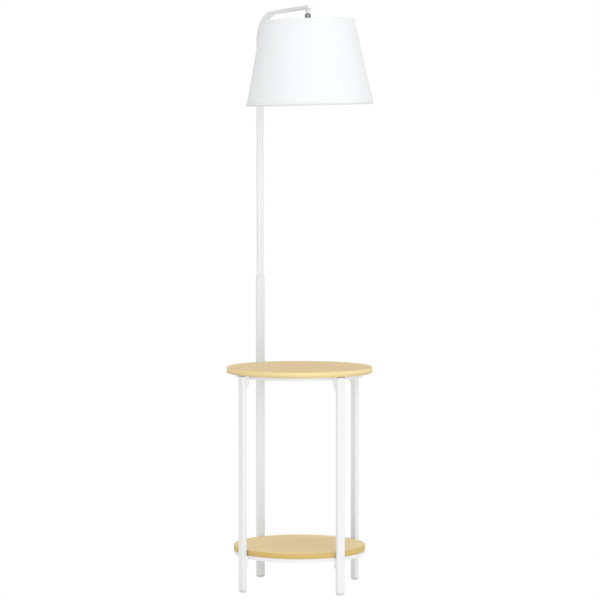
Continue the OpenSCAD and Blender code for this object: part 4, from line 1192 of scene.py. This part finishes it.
@dataclass
class Shade:
    """The cloth of the shade: a cover with one lapped seam, and a tape folded over each rim."""

    axis: Axis
    drop: float = 28.5 * MM
    height: float = 232 * MM
    top_radius: float = 126 * MM
    bottom_radius: float = 173.5 * MM
    cloth: float = 0.5 * MM
    lap: float = 9 * MM
    lap_gap: float = 0.08 * MM
    lap_ramp: float = 3 * MM
    seam_angle: float = math.radians(62)
    tape: float = 9 * MM
    tape_thickness: float = 0.4 * MM
    tape_gap: float = 0.12 * MM
    tape_ramp: float = 4 * MM
    fold_width: float = 5.1 * MM
    fold_height: float = 1.3 * MM
    fold_power: float = 0.6
    spoke_angles: tuple[float, ...] = (90.0, 210.0, 330.0)
    slot_width: float = 4.6 * MM
    slot_edge: float = 0.07
    slot_stub: float = 0.05
    columns: int = 720
    rows: int = 40
    leg_rows: int = 12
    fold_rows: int = 15

    @property
    def rise(self) -> float:
        """Returns how much the radius grows with each metre down the shade."""
        return (self.bottom_radius - self.top_radius) / self.height

    @property
    def sine(self) -> float:
        """Returns the sine of the cone's half angle."""
        return self.rise / math.hypot(1.0, self.rise)

    @property
    def lap_angle(self) -> float:
        """Returns the turn that the lap takes at half the shade's height."""
        return self.lap / float(self.radius(self.drop + self.height / 2))

    def radius(self, drop: Array | float) -> Array:
        """Returns the outer radius at a distance below the arm, on the straight side of the cone."""
        return self.top_radius + (np.asarray(drop) - self.drop) * self.rise

    def seam_lift(self, angle: Array) -> Array:
        """Lifts a tape over the lapped seam: a bump as wide as the lap with a ramp on each side.

        Args:
            angle: Angles round the shade, from the seam.

        Returns:
            The lift at each angle.
        """
        ramp = self.tape_ramp / self.bottom_radius
        near = np.mod(angle + math.pi, 2 * math.pi) - math.pi
        up = smooth_step(near, -2.0 * ramp, -0.5 * ramp)
        down = 1 - smooth_step(near, self.lap_angle, self.lap_angle + ramp)
        return (self.cloth + self.tape_gap) * up * down

    def cover(self) -> bpy.types.Object:
        """Wraps the cloth once round the cone and laps its end over its start.

        The cloth is the cone's side, from rim to rim, and the last few millimetres before the lap
        rise by the cloth's own thickness. The map is the cloth laid flat: a sector of a ring, whose
        radius is the distance to the cone's apex and whose angle is the turn times the sine of the
        cone's half angle.

        Returns:
            The cover.
        """
        angle = np.linspace(0.0, 2 * math.pi + self.lap_angle, self.columns + 1)
        length = self.height - 2 * self.tape_thickness
        rows = self.drop + self.tape_thickness + np.linspace(0.0, 1.0, self.rows) * length
        ramp = self.lap_ramp / self.bottom_radius
        lift = (self.cloth + self.lap_gap) * smooth_step(
            angle, 2 * math.pi - 2 * ramp, 2 * math.pi - 0.5 * ramp)
        line = np.stack(np.broadcast_arrays(
            self.radius(rows)[None] - self.cloth / 2 + lift[:, None], -rows[None]), -1)
        loop = thicken(line, self.cloth)
        points = self.axis.turn(loop[..., 0], angle[:, None] + self.seam_angle, loop[..., 1])
        far = self.radius(np.concatenate([rows, rows[::-1], rows[:1]])) / self.sine
        turned = angle[:, None] * self.sine
        maps = np.stack([far * np.sin(turned), far * np.cos(turned)], -1)
        return shell("shade_cover", points, maps=maps)

    def hem(self, name: str, rim: float, inward: float, spokes: Sequence[float]) -> bpy.types.Object:
        """Folds a tape over a rim: from its outer edge to the rim, over it and back inside the wire.

        The fold is half of a squared ellipse: sine and cosine, each to the power fold_power. The
        inner leg stops short where a spoke comes through. The map runs along and across the tape.

        Args:
            name: The tape's name.
            rim: Distance of the rim below the arm.
            inward: 1 where the tape runs down from the rim, -1 where it runs up.
            spokes: Angles of the spokes that come through it.

        Returns:
            The tape.
        """
        half = self.slot_width / 2 / self.radius(rim)
        near = half * (1 - self.slot_edge)
        middles = [math.radians(spoke) - self.seam_angle for spoke in spokes]
        edges = [middle + away for middle in middles for away in (-half, -near, near, half)]
        angle = np.sort(np.mod(np.concatenate([
            np.linspace(0.0, 2 * math.pi, self.columns, endpoint=False), edges]), 2 * math.pi))
        full = self.tape - self.fold_height
        inner = np.full(angle.shape, full)
        for middle in middles:
            away = np.abs(np.mod(angle - middle + math.pi, 2 * math.pi) - math.pi)
            inner = np.where(away < (half + near) / 2, self.slot_stub * full, inner)
        turn = np.linspace(0.0, math.pi, self.fold_rows + 2)[1:-1]
        cosine = np.cos(turn)
        wide = self.fold_width / 2
        reach = np.concatenate([
            np.zeros(self.leg_rows),
            wide * (1 - np.sign(cosine) * np.abs(cosine) ** self.fold_power),
            np.full(self.leg_rows, self.fold_width)])
        down = np.linspace(1.0, 0.0, self.leg_rows)
        depth = self.fold_height + np.concatenate([
            np.broadcast_to(full * down, (angle.size, self.leg_rows)),
            np.broadcast_to(
                -self.fold_height * np.sin(turn) ** self.fold_power, (angle.size, self.fold_rows)),
            inner[:, None] * down[::-1]], 1)
        drop = rim + inward * depth
        outside = self.radius(drop) + self.tape_thickness / 2 - reach
        outside += self.seam_lift(angle)[:, None] * (reach < wide)
        line = np.stack([outside, -drop], -1)
        loop = thicken(line, self.tape_thickness)
        points = self.axis.turn(loop[..., 0], angle[:, None] + self.seam_angle, loop[..., 1])
        along = np.concatenate([angle, [2 * math.pi]]) * self.radius(rim)
        steps = np.linalg.norm(np.diff(line[0], axis=0), axis=-1)
        across = np.concatenate([[0.0], np.cumsum(steps)])
        across = np.concatenate([across, across[::-1], across[:1]])
        maps = np.stack(np.meshgrid(along, across, indexing="ij"), -1)
        return shell(name, points, wrapped=True, maps=maps)

    def build(self) -> None:
        cover = self.cover()
        top = self.hem("top_tape", self.drop, 1.0, self.spoke_angles)
        bottom = self.hem("bottom_tape", self.drop + self.height, -1.0, ())
        for piece, node, finish in (
                (cover, "shade_fabric", Palette.SHADE_CLOTH), (top, "top_hem", Palette.TOP_TAPE),
                (bottom, "bottom_hem", Palette.RIM_TAPE)):
            fit(piece, finish, "head", node, "shade_cloth")
        near, far = self.top_radius / self.sine, self.bottom_radius / self.sine
        half = math.pi * self.sine + self.lap / 2 / far
        flat = (2 * far * math.sin(half), far - near * math.cos(half))
        area = half * (far * far - near * near)
        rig.sheet(
            cover, flat=flat, held="stretched", rests_on=["shade_liner"], area=area,
            with_pieces=[top, bottom])
        LOG.info("shade cloth: flat %.3f x %.3f m, %.4f m2", *flat, area)


def corners() -> list[list[float]]:
    """Returns the whole lamp's lowest and highest corner as plain lists."""
    return [list(map(float, corner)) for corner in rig.bounds()]


def main() -> None:
    """Builds the studio and dresses the lamp, piece by piece."""
    logging.basicConfig(level=logging.INFO, format="%(name)s: %(message)s")
    frame = Frame()
    solid_box = corners()
    Studio().build()
    frame.dress()
    Feet().build()
    Shade(frame.hanging_axis()).build()
    with open(SIZE_FILE, "w", encoding="utf-8") as out:
        json.dump({"cad": solid_box, "visual": corners()}, out)


if __name__ == "__main__":
    main()
